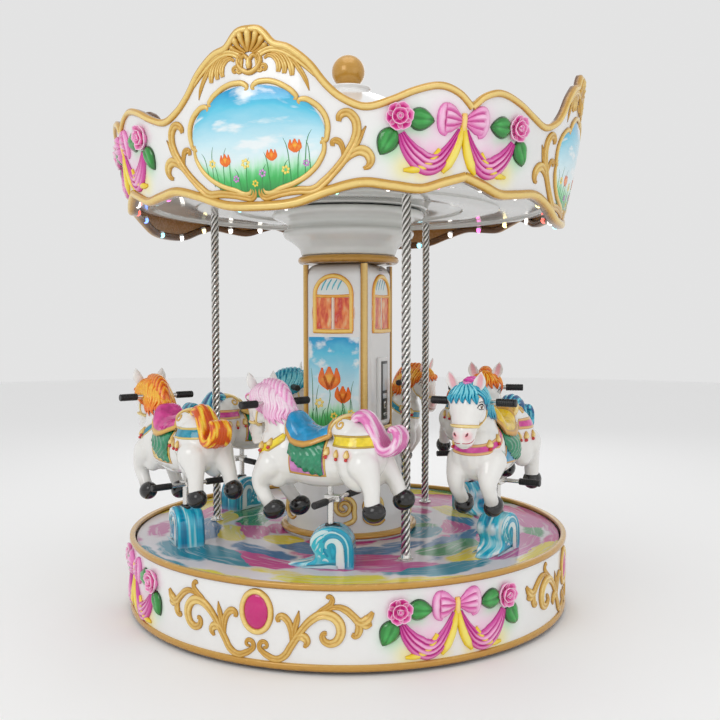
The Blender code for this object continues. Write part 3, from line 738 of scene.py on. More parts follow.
# Camera, light and floor
def set_stage():
    camera = bpy.data.objects.new("camera", bpy.data.cameras.new("camera"))
    bpy.context.scene.collection.objects.link(camera)
    camera.data.lens = 43.965
    camera.data.sensor_width = 36.0
    camera.location = (0.0, -3.901, 1.234)
    camera.rotation_euler = (radians(87.135), 0.0, radians(-0.75))
    bpy.context.scene.camera = camera
    for name, spot_at, size, power in (("key", (-2.6, -4.2, 3.6), 2.4, 46.0), ("fill", (3.4, -3.4, 2.2), 2.8, 11.0),
            ("top", (0.0, -0.6, 5.0), 2.6, 25.0), ("low", (0.3, -4.4, 0.5), 2.4, 6.0),
            ("back", (0.5, 4.4, 3.2), 3.0, 26.0)):
        light = bpy.data.lights.new(name, "AREA")
        light.energy = power
        light.size = size
        lamp = bpy.data.objects.new(name, light)
        bpy.context.scene.collection.objects.link(lamp)
        lamp.location = spot_at
        lamp.rotation_euler = (Vector((0.0, 0.0, 1.1)) - Vector(spot_at)).to_track_quat("-Z", "Y").to_euler()
    world = bpy.data.worlds.new("studio")
    world.use_nodes = True
    world.node_tree.nodes["Background"].inputs["Color"].default_value = (1.0, 1.0, 1.0, 1.0)
    world.node_tree.nodes["Background"].inputs["Strength"].default_value = 0.77
    bpy.context.scene.world = world
    bpy.context.scene.view_settings.view_transform = "Standard"
    bpy.ops.mesh.primitive_circle_add(vertices=96, radius=14.0, fill_type="NGON")
    floor = bpy.context.object
    floor.name = "floor"
    material, _, shader = new_paint("pale_floor")
    shader.inputs["Base Color"].default_value = (0.93, 0.93, 0.93, 1.0)
    shader.inputs["Roughness"].default_value = 0.7
    floor.data.materials.append(material)


set_stage()


# The fixed base
def rim(radius, half_width, half_height, height, name, node_name):
    """A gold rim: a rounded band that laps the edge of the wall."""
    outline = [(radius + half_width * cos(a) * abs(cos(a)) ** -0.35,
        height + half_height * sin(a) * abs(sin(a)) ** -0.35) for a in (radians(11.25 + 22.5 * k) for k in range(16))]
    obj = lathe(outline, closed=True, sharp=60.0)
    # Painted light on the rim: lighter towards its top, darker underneath, as if lit from above.
    mark(obj, "relief", lambda co: 0.45 + 0.3 * (co.z - height) / half_height)
    return place(obj, name, "base", GOLD_RIM, (node_name,))


def halo(azimuth, height, spots, mean=WALL_MEAN):
    """How strongly the spray covers a place: spots are across and up in millimetres, and a reach."""
    across = radians(azimuth) * mean * 1000.0
    total = 0.0
    for x, y, reach in spots:
        total = max(total, exp(-((abs(across) - x) ** 2 + (height * 1000.0 - y) ** 2) / reach ** 2))
    return total


def halo_marks(obj, middle, knot, reach):
    """Marks the sprayed colour round the garlands, whose middles are at middle + 90 k degrees."""
    sprays = {"halo_green": [(reach + 18, -88, 46), (reach - 60, -22, 46)],
        "halo_yellow": [(reach - 32, -160, 44), (reach - 90, -172, 40), (60, -168, 32)],
        "halo_pink": [(reach - 62, -86, 38), (70, -10, 62), (108, -110, 60)]}
    for name, spots in sprays.items():
        def strength(co):
            away = (degrees(atan2(co.y, co.x)) - middle + 45.0) % 90.0 - 45.0
            return 0.75 * halo(away, co.z - knot, spots)
        mark(obj, name, strength)


def lay_garland(middle, knot, reach, radius_at, body, prefix):
    """Four garlands, one to each quarter."""
    paints = {"swag": RIBBON_PINK, "bands": RIBBON_YELLOW, "bow": BOW_PINK, "knot": KNOT_YELLOW, "leaves": LEAF_GREEN,
        "roses": ROSE_PINK}
    for part, flat in garland(reach).items():
        for k in range(4):
            piece = on_round(copy_of(flat, part), middle + 90.0 * k, knot, radius_at)
            place(piece, f"{prefix}_{part}_{k + 1}", body, paints[part])
        drop(flat)


SKIRT_SCROLL = [coil(30, -118, 22, 1.1, 250, 3, 7) + [(40, -150, 8), (75, -160, 8), (105, -146, 9),
    (128, -112, 9), (150, -78, 9), (175, -42, 9), (205, -12, 10), (235, 4, 11), (264, 4, 12), (289, -10, 12),
    (304, -38, 12), (300, -72, 11), (281, -92, 10), (257, -93, 9), (241, -76, 8), (246, -60, 6), (256, -60, 5)],
    [(190, -26, 4), (232, 16, 6), (258, 33, 7), (273, 48, 7), (273, 63, 6), (262, 69, 5), (257, 61, 4)],
    [(250, 20, 4), (292, 32, 7), (322, 22, 9), (348, 0, 9), (372, -20, 10), (397, -10, 11), (416, 14, 5)],
    [(366, -18, 7), (392, -30, 11), (412, -27, 5)], [(362, -16, 7), (367, -50, 10), (354, -68, 8), (342, -62, 5)],
    [(132, -100, 5), (129, -50, 8), (114, -18, 9), (96, -8, 9), (82, -16, 7), (84, -29, 5)],
    [(136, -88, 5), (142, -50, 8), (152, -15, 7), (158, 16, 1.5)],
    [(138, -92, 6), (158, -76, 9), (176, -76, 11), (186, -92, 9), (177, -112, 4)]]
GEM_AZIMUTH = -110.0
GEM_HEIGHT = 0.207
SKIRT_GARLAND = -66.0
SKIRT_KNOT = 0.222
SKIRT_REACH = 222.0


def make_base():
    rim(BASE_RADIUS - 0.013, 0.013, 0.013, 0.025, "base_lower_rim", "base_rim_lower")
    rim(BASE_RADIUS - 0.012, 0.012, 0.012, 0.306, "base_upper_rim", "base_rim_upper")
    low, high, rows = 0.034, 0.298, 20
    outer = [(SKIRT_RADIUS, high - (high - low) * k / rows) for k in range(rows + 1)]
    skirt = lathe(outer + [(SKIRT_RADIUS - 0.008, low), (SKIRT_RADIUS - 0.008, high)], 320, 30.0, closed=True)
    halo_marks(skirt, SKIRT_GARLAND, SKIRT_KNOT, SKIRT_REACH)
    place(skirt, "painted_skirt", "base", SPRAYED_WALL, ("base_skirt",))
    lay_garland(SKIRT_GARLAND, SKIRT_KNOT, SKIRT_REACH, lambda z: SKIRT_RADIUS, "base", "skirt")
    scroll = strokes(mirrored(SKIRT_SCROLL, 1.5), REED)
    ring = strokes([[(55 * cos(a), 71 * sin(a), 11) for a in (radians(30.0 * k) for k in range(12))]], BEAD,
        cyclic=True, fine=8)
    gem = oval(0.047, 0.063, 24, 24, 0.014, 0.006)
    for k in range(4):
        azimuth = GEM_AZIMUTH + 90.0 * k
        for flat, name, paint in ((scroll, "scroll", GOLD), (ring, "gem_frame", GOLD), (gem, "gem", GEM_PINK)):
            piece = on_round(copy_of(flat, name), azimuth, GEM_HEIGHT, lambda z: SKIRT_RADIUS)
            place(piece, f"skirt_{name}_{k + 1}", "base", paint)
    drop(scroll, ring, gem)
    repaint("base_frame", FRAME_GREY)
    repaint("bearing_ring", BEARING_STEEL)


make_base()


def make_drum():
    profile = soft([(0.0, 0.72), (0.19, 0.72), (0.197, 0.695), (0.222, 0.64), (0.243, 0.57), (0.26, 0.48),
        (0.27, 0.39), (0.275, 0.326), (0.275, 0.306), (0.29, 0.306), (0.29, 0.288), (0.15, 0.288), (0.15, 0.0605),
        (0.0, 0.0605)], 0.004)
    place(lathe(profile, 128), "drum", "base", WHITE, ("centre_drum",))
    ring = lathe([(0.2753, 0.307), (0.297, 0.307), (0.302, 0.311), (0.3025, 0.317), (0.298, 0.324), (0.29, 0.328),
        (0.2755, 0.329)], 128, 60.0, closed=True)
    # Painted light: the ring's paint runs from shaded at its foot to lit at its top.
    mark(ring, "relief", lambda co: 0.3 + 20.0 * (co.z - 0.307))
    place(ring, "drum_foot_ring", "base", GOLD_RIM, ("drum_ring",))
    snail = strokes(
        mirrored([coil(66, 0, 47, 1.9, 205, 7, 9) + [(24, -50, 9), (48, -66, 9), (84, -72, 7), (112, -60, 4)]], 1.2),
        BEAD)

    def drum_radius(z):
        levels = [(0.326, 0.275), (0.39, 0.27), (0.48, 0.26), (0.57, 0.243), (0.64, 0.222)]
        return next((r0 + (r1 - r0) * (z - z0) / (z1 - z0) for (z0, r0), (z1, r1) in zip(levels, levels[1:])
            if z <= z1), 0.222)
    for k in range(4):
        piece = on_round(copy_of(snail, "snail"), -80.0 + 90.0 * k, 0.435, drum_radius, 0.265)
        place(piece, f"drum_scroll_{k + 1}", "base", GOLD)
    drop(snail)


make_drum()


def rounded_column(half_width, corner, bottom, top, steps=10):
    """An upright square prism with round corners."""
    bpy.ops.mesh.primitive_cube_add(size=1.0, location=(0.0, 0.0, (bottom + top) / 2.0),
        scale=(2.0 * half_width, 2.0 * half_width, top - bottom))
    obj = settle(bpy.context.object)
    pick_edges(obj, lambda a, b: abs(a.z - b.z) > 0.01)
    bpy.ops.mesh.bevel(offset=corner, segments=steps)
    leave()
    obj.rotation_euler.z = radians(FACE_AZIMUTH)
    return smooth(settle(obj), 35.0)


def make_column():
    column = rounded_column(COLUMN_HALF_WIDTH, COLUMN_CORNER, 0.7203, COLUMN_TOP)
    place(column, "column_shell", "base", WHITE, ("column",))
    bead = strokes([[(0, -372, 16), (0, 0, 16), (0, 368, 16)]], BEAD)
    beads = [on_face(copy_of(bead, "bead"), FACE_AZIMUTH + 45.0 + 90.0 * k, 1.088, lambda x: 0.1925)
        for k in range(4)]
    drop(bead)
    place(join(beads, "beads"), "column_beads", "base", GOLD_RIM, ("column_trim",))
    collar = lathe([(0.0, 1.4937)]
        + [(0.204 + 0.018 * cos(a), 1.477 + 0.0168 * sin(a)) for a in (radians(90.0 - 15.0 * k) for k in range(13))]
        + [(0.0, 1.4603)], 128, 60.0)
    # Painted light: the collar is painted darker underneath and lighter on top.
    mark(collar, "relief", lambda co: 0.45 + 14.0 * (co.z - 1.477))
    place(collar, "collar", "base", GOLD_RIM, ("column_collar",))
    profile = soft([(0.0, 1.688), (0.322, 1.688), (0.334, 1.678), (0.33, 1.66), (0.298, 1.65), (0.29, 1.646),
        (0.268, 1.634), (0.268, 1.612), (0.288, 1.6), (0.289, 1.588), (0.28, 1.573), (0.243, 1.552), (0.214, 1.525),
        (0.206, 1.4945), (0.0, 1.4945)], 0.01, 4)
    place(lathe(profile, 160), "capital_shell", "base", SHADED_CAPITAL_WHITE, ("capital",))


make_column()


def make_deck():
    outer = BASE_RADIUS - 0.03
    profile = soft([(0.296, 0.3), (outer, 0.3), (outer, 0.282), (0.296, 0.282)], 0.002)
    place(lathe(profile, closed=True), "painted_deck", "carousel", DECK_STROKES, ("deck",))
    repaint("deck_frame", FRAME_GREY)


make_deck()


def make_poles():
    """Tubes with five twisted ridges, a plain foot and a flange screwed to the deck and ceiling."""
    bottom, top = DECK_TOP + 0.016, CEILING - 0.0004
    slices = 230
    bpy.ops.mesh.primitive_circle_add(vertices=40, radius=0.0168, fill_type="NOTHING")
    tube = bpy.context.object
    for k, vertex in enumerate(tube.data.vertices):
        vertex.co *= 0.99 + 0.12 * cos(2.0 * pi * k / 8.0)
    edit(tube, everything=True)
    bpy.ops.mesh.extrude_region_move(TRANSFORM_OT_translate={"value": (0.0, 0.0, top - bottom)})
    leave()
    pick_edges(tube, lambda a, b: abs(a.z - b.z) > 0.01)
    bpy.ops.mesh.subdivide(number_cuts=slices)
    leave()
    lead = 0.14

    def twist(co):
        angle = 2.0 * pi * co.z / lead
        return Matrix.Rotation(angle, 3, "Z") @ co + Vector((0.0, 0.0, bottom))
    reshape(tube, twist)
    smooth(tube)
    foot = lathe(soft([(0.0, bottom + 0.004), (0.0195, bottom + 0.004), (0.021, 0.309), (0.03, 0.3055),
        (0.03, 0.3004), (0.0, 0.3004)], 0.001), 40)
    head = lathe(soft([(0.0, 1.6996), (0.03, 1.6996), (0.03, 1.696), (0.02, 1.692), (0.0, 1.692)], 0.001), 40)
    pole = join([tube, foot, head], "pole")
    # Relief mark for the painted shade: low in the grooves between the ridges, full on the ridges, the foot and the
    # flange.
    mark(pole, "relief", lambda co: ramp(0.0146, 0.0178, hypot(co.x, co.y)) if 0.322 < co.z < 1.691 else 1.0)
    for k, azimuth in enumerate(POLE_SPOTS):
        piece = moved(copy_of(pole, "pole"), *polar(POLE_CIRCLE, azimuth))
        place(piece, f"twisted_pole_{k + 1}", "carousel", TWISTED_STEEL, (f"pole_{k + 1}",))
    drop(pole)


make_poles()


# The canopy
def cornice_radius(height):
    """Outer radius of the canopy wall at a height."""
    flared = min(height, CREST_START) - CORNICE_FOOT
    return CORNICE_FOOT_RADIUS + CORNICE_FLARE * flared + CREST_FLARE * max(height - CREST_START, 0.0)


def edge_height(points, away):
    """Smooth height of a wavy edge at an angle from a medallion's middle."""
    away = abs(away)
    for k, ((a, low), (b, high)) in enumerate(zip(points, points[1:])):
        if away <= b:
            before = points[k - 1][1] if k else points[1][1]
            after = points[k + 2][1] if k + 2 < len(points) else high + (high - low)
            f = (away - a) / (b - a)
            return along([(before, 0, 0), (low, 0, 0), (high, 0, 0), (after, 0, 0)], (1.0 + f) / 3.0).x
    return points[-1][1]


def edge_path(points, width, lift):
    """A flat path in millimetres along a wavy edge over one quarter."""
    path = []
    for k in range(73):
        away = -45.0 + 90.0 * k / 72.0
        path.append((radians(away) * WALL_MEAN * 1000.0, edge_height(points, away) * 1000.0 + lift, width))
    return path


TOP_MOULD = section("top_mould", [(-1.0, -1.3), (-1.0, 0.2), (-0.75, 0.5), (-0.45, 0.55), (-0.35, 0.78), (0.0, 1.0),
    (0.45, 0.92), (0.85, 0.62), (1.0, 0.2), (1.0, -1.3), (0.6, -1.6), (-0.6, -1.6)])
CANOPY_SCROLL = [coil(32, -157, 24, 1.15, 250, 4, 8) + [(52, -176, 9),
    (90, -168, 9), (150, -160, 10), (205, -158, 11), (240, -134, 11), (268, -108, 10), (300, -73, 10),
    (325, -37, 11), (345, 2, 11), (351, 41, 11), (339, 73, 11), (316, 86, 10), (295, 74, 9), (292, 58, 6)],
    [(310, -58, 5), (328, -36, 8), (352, -6, 9), (381, 44, 2)],
    [(300, -78, 6), (338, -43, 10), (372, -34, 13), (397, -57, 12), (392, -82, 8), (374, -91, 4)],
    [(306, -52, 4), (303, -22, 7), (288, -3, 8), (272, -6, 7), (271, -20, 5)]]
CANOPY_FRAME = [coil(36, -150, 12, 0.8, 210, 3, 5) + [(34, -164, 6), (90, -150, 7), (149, -130, 7), (199, -98, 7),
    (230, -60, 7), (243, -22, 6), (238, -6, 6), (230, -12, 4)], [(236, 8, 4), (244, -2, 6),
    (254, 22, 7), (254, 57, 7), (238, 92, 7), (208, 119, 7), (181, 130, 7), (164, 124, 6), (166, 112, 4)],
    [(148, 128, 4), (156, 134, 6), (146, 152, 7), (120, 172, 7), (86, 189, 7), (50, 195, 7), (22, 190, 7),
    (10, 174, 6), (18, 168, 4)]]
CREST_WINGS = [coil(50, 236, 14, 1.0, 200, 4, 7) + [(31, 256, 8), (32, 274, 9),
    (48, 288, 9), (80, 295, 9), (111, 289, 9), (143, 272, 9), (178, 246, 9), (215, 212, 8), (238, 188, 5)],
    [(52, 268, 4), (70, 276, 6), (92, 262, 7), (101, 238, 8), (98, 220, 6)],
    [(64, 274, 4), (90, 280, 6), (110, 262, 7), (120, 236, 8), (118, 214, 6)],
    [(80, 282, 4), (110, 281, 6), (131, 258, 7), (142, 230, 9), (144, 206, 6)],
    [(110, 282, 4), (140, 262, 6), (168, 226, 7), (188, 190, 6), (199, 156, 1.5)]]
CREST_SHELL = [[(-4, 292, 5), (0, 325, 11), (0, 352, 13), (0, 370, 8)],
    [(4, 292, 4), (20, 322, 9), (27, 345, 12), (28, 358, 9)],
    [(10, 290, 4), (36, 312, 8), (46, 330, 12), (49, 340, 8)],
    [(14, 286, 4), (42, 298, 7), (57, 308, 10), (62, 314, 7)]]
CREST_CUP = [[(-34, 270, 4), (-28, 282, 6), (-40, 268, 7), (-34, 246, 8), (-16, 230, 9),
    (0, 225, 9), (16, 230, 9), (34, 246, 8), (40, 268, 7), (28, 282, 6), (34, 270, 4)],
    [(-30, 264, 5), (-16, 280, 7), (0, 268, 8), (16, 280, 7), (30, 264, 5)], [(0, 268, 9), (0, 250, 11), (0, 236, 8)]]


def landscape(name, horizon, seed):
    """A painted sky over a meadow, in the plate's own picture coordinates."""
    material, tree, shader = new_paint(name, 0.5)
    picture = node(tree, "ShaderNodeUVMap", uv_map="UVMap").outputs[0]
    across, up, _ = node(tree, "ShaderNodeSeparateXYZ", {0: picture}).outputs
    shifted = node(tree, "ShaderNodeMapping",
        {"Vector": picture, "Location": (seed, seed * 0.7, 0.0), "Scale": (1.0, 2.2, 1.0)}).outputs[0]
    cloud = noise(tree, shifted, 3.2, 4.0)
    level = maths(tree, "ADD", up, around_half(tree, cloud, 0.22))
    sky = colour_ramp(tree, level, ((horizon, (0.8, 0.9, 0.9)), (horizon + 0.22, (0.62, 0.86, 0.93)),
        (0.82, (0.1, 0.58, 0.8)), (0.97, (0.0, 0.34, 0.66))))
    puff = smoothstep(tree, cloud, 0.52, 0.68)
    sky = blend(tree, maths(tree, "MULTIPLY", puff, 0.9), sky, (0.88, 0.93, 0.94, 1.0))
    roll = maths(tree, "MULTIPLY", maths(tree, "SINE", maths(tree, "MULTIPLY_ADD", across, 7.0)), 0.03)
    grass_noise = noise(tree,
        node(tree, "ShaderNodeMapping", {"Vector": picture, "Scale": (26.0, 5.0, 1.0)}).outputs[0], 1.0, 3.0)
    ground = maths(tree, "ADD", maths(tree, "ADD", up, roll), around_half(tree, grass_noise, 0.16))
    meadow = colour_ramp(tree, ground,
        ((0.0, (0.01, 0.2, 0.03)), (horizon * 0.55, (0.06, 0.5, 0.12)), (horizon, (0.3, 0.8, 0.4))))
    cover = smoothstep(tree, ground, horizon + 0.1, horizon - 0.08)
    put_on(tree, shader, GELCOAT, blend(tree, cover, sky, meadow), Mottle=0.02, Gloss=0.08, Ripple=0.04)
    return material


MEDALLION_PICTURE = landscape("medallion_picture", 0.27, 3.1)
PANEL_PICTURE = landscape("panel_picture", 0.2, 8.6)
BLADE_GREEN = shaded_relief_paint("blade_green", (0.0, 0.05, 0.01), (0.01, 0.17, 0.04), (0.06, 0.34, 0.09), 0.2)
FLOWER_ORANGE = shaded_relief_paint("flower_orange", (0.6, 0.03, 0.005), (0.86, 0.16, 0.01), (0.95, 0.5, 0.05), 0.35)
FLOWER_YELLOW = shaded_relief_paint("flower_yellow", (0.85, 0.35, 0.01), (0.93, 0.66, 0.04), (0.98, 0.88, 0.4), 0.3)
FLOWER_VIOLET = shaded_relief_paint("flower_violet", (0.2, 0.02, 0.3), (0.5, 0.12, 0.55), (0.85, 0.55, 0.85), 0.3)


def blades(spots, height):
    """Brushed grass blades: foot, lean and share of the height, in millimetres."""
    return [[(x, y, 1.2), (x + lean * 0.25, y + height * share * 0.45, 1.7),
        (x + lean * 0.8, y + height * share * 0.85, 1.3), (x + lean * 1.5, y + height * share, 0.5)]
        for x, y, lean, share in spots]


def tulip(x, y, size):
    """A painted tulip head of three strokes."""
    shapes = [[(0.0, 0.0, 0.1), (0.0, 0.5, 0.3), (0.0, 1.0, 0.06)]]
    shapes += [[(0.0, 0.0, 0.1), (s * 0.34, 0.4, 0.22), (s * 0.36, 0.95, 0.04)] for s in (-1.0, 1.0)]
    return [[(x + size * a, y + size * b, size * c) for a, b, c in shape] for shape in shapes]


def daisy(x, y, size):
    """A painted flower of six round petals."""
    petals = []
    for angle in (radians(60.0 * k + 15.0) for k in range(6)):
        dx, dy = size * cos(angle), size * sin(angle)
        petals.append([(x + dx * far, y + dy * far, size * wide)
            for far, wide in ((0.18, 0.08), (0.34, 0.17), (0.5, 0.05))])
    return petals


def flat_paint(paths):
    """Painted strokes, barely raised."""
    piece = strokes(paths, BAND, fine=5)
    return reshape(piece, lambda co: Vector((co.x, co.y, max(-0.0006, min(co.z, 0.001)))))


def make_cornice():
    sheet = grid(120, 40)

    def lay(co):
        away = co.x * 90.0
        low, high = edge_height(CORNICE_BOTTOM_EDGE, away), edge_height(CORNICE_TOP_EDGE, away)
        height = low + (high - low) * (co.y + 0.5)
        return polar(cornice_radius(height), away, height)
    reshape(sheet, lay)
    halo_marks(sheet, CANOPY_GARLAND, CANOPY_KNOT, CANOPY_REACH)
    sheet.data.materials.append(SPRAYED_WALL)
    sheet.data.materials.append(INNER_GOLD)
    smooth(thicken(sheet, CORNICE_WALL, material_offset=1, material_offset_rim=1), 40.0)
    flats = {"top_moulding": strokes([edge_path(CORNICE_TOP_EDGE, 12.5, 0.0)], TOP_MOULD, fine=2),
        "bottom_moulding": strokes([edge_path(CORNICE_BOTTOM_EDGE, 16.0, 6.0)], TOP_MOULD, fine=2),
        "scroll": strokes(mirrored(CANOPY_SCROLL, 1.4), REED),
        "frame": strokes(mirrored(CANOPY_FRAME, 1.4), BEAD), "wings": strokes(mirrored(CREST_WINGS, 1.25), REED),
        "shell": strokes([CREST_SHELL[0]] + mirrored(CREST_SHELL[1:]), BEAD), "cup": strokes(CREST_CUP, BEAD)}
    crest = join([flats.pop("shell"), flats.pop("cup")], "crest")
    flats["crest"] = reshape(crest, lambda co: Vector((co.x, co.y, co.z * 1.5)))
    picture = oval(0.25, 0.182, 44, 40, 0.01, 0.006)
    grass = flat_paint(blades([(-190, -120, -14, 0.8), (-172, -138, 10, 1.1), (-150, -150, -8, 0.7),
        (-128, -158, 16, 1.2), (-60, -168, -12, 0.7), (-38, -172, 12, 1.0), (20, -172, 14, 0.8), (52, -168, -10, 1.1),
        (96, -160, 16, 0.8), (128, -150, -14, 1.3), (150, -142, 12, 1.0), (176, -126, 18, 1.3), (196, -112, -8, 0.9),
        (-100, -162, 6, 0.9)], 120))
    red = flat_paint(tulip(-112, -74, 40) + tulip(64, -64, 36) + tulip(146, -40, 42))
    yellow = flat_paint(daisy(-34, -70, 34) + daisy(110, -96, 30) + daisy(-168, -62, 30) + daisy(-4, -136, 24))
    violet = flat_paint(daisy(-76, -118, 26) + daisy(26, -104, 28) + daisy(182, -76, 24))
    for k in range(4):
        azimuth = MEDALLION_AZIMUTH + 90.0 * k
        turn = Matrix.Rotation(radians(azimuth), 3, "Z")
        wall = reshape(copy_of(sheet, "wall"), lambda co: turn @ co)
        place(wall, f"canopy_wall_{k + 1}", "carousel", None, (f"cornice_section_{k + 1}",))
        for name, flat in flats.items():
            level = 0.0 if "moulding" in name else SCROLL_HEIGHT
            piece = on_round(copy_of(flat, name), azimuth, level, cornice_radius)
            place(piece, f"canopy_{name}_{k + 1}", "carousel", GOLD)
        for name, flat, paint in (("picture", picture, MEDALLION_PICTURE),
                ("grass", grass, BLADE_GREEN), ("tulips", red, FLOWER_ORANGE), ("daisies", yellow, FLOWER_YELLOW),
                ("asters", violet, FLOWER_VIOLET)):
            piece = copy_of(flat, name)
            if name != "picture":
                reshape(piece, lambda co: co
                    + Vector((0.0, 0.0, 0.01 * sqrt(max(0.02, 1.0 - (co.x / 0.252) ** 2 - (co.y / 0.184) ** 2)))))
            on_round(piece, azimuth, MEDALLION_HEIGHT, lambda z: cornice_radius(z) + 0.001)
            place(piece, f"medallion_{name}_{k + 1}", "carousel", paint)
    drop(sheet, picture, grass, red, yellow, violet, *flats.values())
    lay_garland(MEDALLION_AZIMUTH + CANOPY_GARLAND, CANOPY_KNOT, CANOPY_REACH, cornice_radius, "carousel", "canopy")


make_cornice()


def make_ceiling_and_roof():
    edge = cornice_radius(CEILING) - CORNICE_WALL
    steps = [(0.0, CEILING + 0.019), (edge, CEILING + 0.019), (edge, CEILING - 0.006), (0.88, CEILING - 0.012),
        (0.85, CEILING - 0.012), (0.845, CEILING), (0.66, CEILING - 0.002), (0.655, CEILING - 0.01),
        (0.5, CEILING - 0.011), (0.495, CEILING - 0.001), (0.345, CEILING - 0.001), (0.34, CEILING - 0.006),
        (0.3, CEILING - 0.007), (0.0, CEILING - 0.007)]
    place(lathe(soft(steps, 0.003)), "ceiling", "carousel", SHADED_CEILING_WHITE, ("canopy_ceiling",))
    low = cornice_radius(1.815) - CORNICE_WALL - 0.0005
    profile = soft([(0.0, 2.228), (0.096, 2.228), (0.1, 2.222), (0.088, 2.214), (0.094, 2.202), (0.125, 2.19),
        (0.15, 2.182), (low, 1.83), (low, 1.815), (0.0, 2.166)], 0.006)
    place(lathe(profile), "roof", "carousel", WHITE, ("canopy_roof",))
    ball = [(0.072 * sin(radians(a)), 2.298 + 0.072 * cos(radians(a))) for a in range(0, 145, 6)]
    finial = lathe(ball + [(0.034, 2.2285), (0.0, 2.2285)], 64, 60.0)
    mark(finial, "relief", lambda co: 0.62)
    place(finial, "finial_ball", "carousel", GOLD_RIM, ("finial",))


make_ceiling_and_roof()


def make_lamps():
    """Small domed lamps under the rim, each in a white collar."""
    tints = ((1.0, 0.96, 0.88), (0.25, 0.85, 1.0), (0.1, 0.25, 1.0), (1.0, 0.1, 0.55), (1.0, 0.85, 0.35),
        (1.0, 0.06, 0.03), (0.3, 1.0, 0.55))
    order = (0, 6, 0, 3, 0, 0, 4, 0, 1, 2, 5, 0, 4, 3, 0, 1)
    paints = []
    for k, tint in enumerate(tints):
        material, _, shader = new_paint(f"lamp_glow_{k + 1}")
        shader.inputs["Base Color"].default_value = (*(0.4 + 0.6 * c for c in tint), 1.0)
        shader.inputs["Roughness"].default_value = 0.12
        shader.inputs["Emission Color"].default_value = (*tint, 1.0)
        shader.inputs["Emission Strength"].default_value = 2.4
        paints.append(material)
    lens = lathe(soft([(0.0, 0.004), (0.006, 0.003), (0.0115, -0.002), (0.0135, -0.009), (0.0135, -0.014),
        (0.0, -0.014)], 0.001), 20)
    collar = lathe(soft([(0.0135, -0.012), (0.0165, -0.012), (0.0165, -0.022), (0.0, -0.022), (0.0, -0.0135),
        (0.0135, -0.0135)], 0.001), 20)
    for k in range(LAMPS):
        azimuth = MEDALLION_AZIMUTH + 360.0 * (k + 0.5) / LAMPS
        away = (azimuth - MEDALLION_AZIMUTH + 45.0) % 90.0 - 45.0
        foot = edge_height(CORNICE_BOTTOM_EDGE, away) - 0.004
        out = polar(1.0, azimuth)
        lean = Vector((-out.x * 0.55, -out.y * 0.55, -0.85)).to_track_quat("Z", "Y").to_matrix()
        middle = polar(cornice_radius(foot) - CORNICE_WALL - 0.012, azimuth, foot - 0.002)
        for flat, name, paint in ((lens, "lamp", paints[order[k % len(order)]]), (collar, "lamp_collar", WHITE)):
            piece = reshape(copy_of(flat, name), lambda co: lean @ co + middle)
            place(piece, f"{name}_{k + 1}", "carousel", paint)
    drop(lens, collar)


make_lamps()


# Painted faces of the column
def column_face(x):
    """How far the column's face stands from the axis; less at its soft corners."""
    level = COLUMN_HALF_WIDTH - COLUMN_CORNER
    past = max(0.0, abs(x) - level)
    return level + sqrt(max(0.0, COLUMN_CORNER ** 2 - past * past))


def brushed(name, stops, scale, coat=0.4):
    """Paint dabbed in streaks from one colour to another."""
    material, tree, shader = new_paint(name, coat)
    dab = noise(tree, spot(tree, scale), 1.0, 3.0)
    put_on(tree, shader, GELCOAT, colour_ramp(tree, dab, stops), Mottle=0.04, Gloss=0.08, Ripple=0.05)
    return material


WINDOW_FRAME = shaded_relief_paint("window_frame", (0.6, 0.12, 0.01), (0.88, 0.36, 0.03), (0.96, 0.66, 0.16), 0.3)
SHUTTER_RED = brushed("shutter_red",
    ((0.34, (0.92, 0.6, 0.3)), (0.46, (0.9, 0.26, 0.07)), (0.6, (0.66, 0.03, 0.02)), (0.74, (0.92, 0.5, 0.34))),
    (34.0, 34.0, 12.0))
GLASS_WHITE = gelcoat("glass_white", (0.8, 0.86, 0.84), 0.06)
GLASS_TEAL = shaded_relief_paint("glass_teal", (0.0, 0.2, 0.3), (0.01, 0.36, 0.48), (0.2, 0.62, 0.72), 0.3)
MULLION = shaded_relief_paint("mullion_pale", (0.62, 0.2, 0.1), (0.86, 0.62, 0.46), (0.93, 0.86, 0.74), 0.2)


def panel(width, height, bottom, bulge=0.0, columns=24, rows=30):
    """A thin plate standing on a height in millimetres above the flat origin."""
    obj = plate(width * MM, height * MM, columns, rows, 0.003)
    return moved(obj, y=(bottom + height / 2.0) * MM, z=bulge * MM)


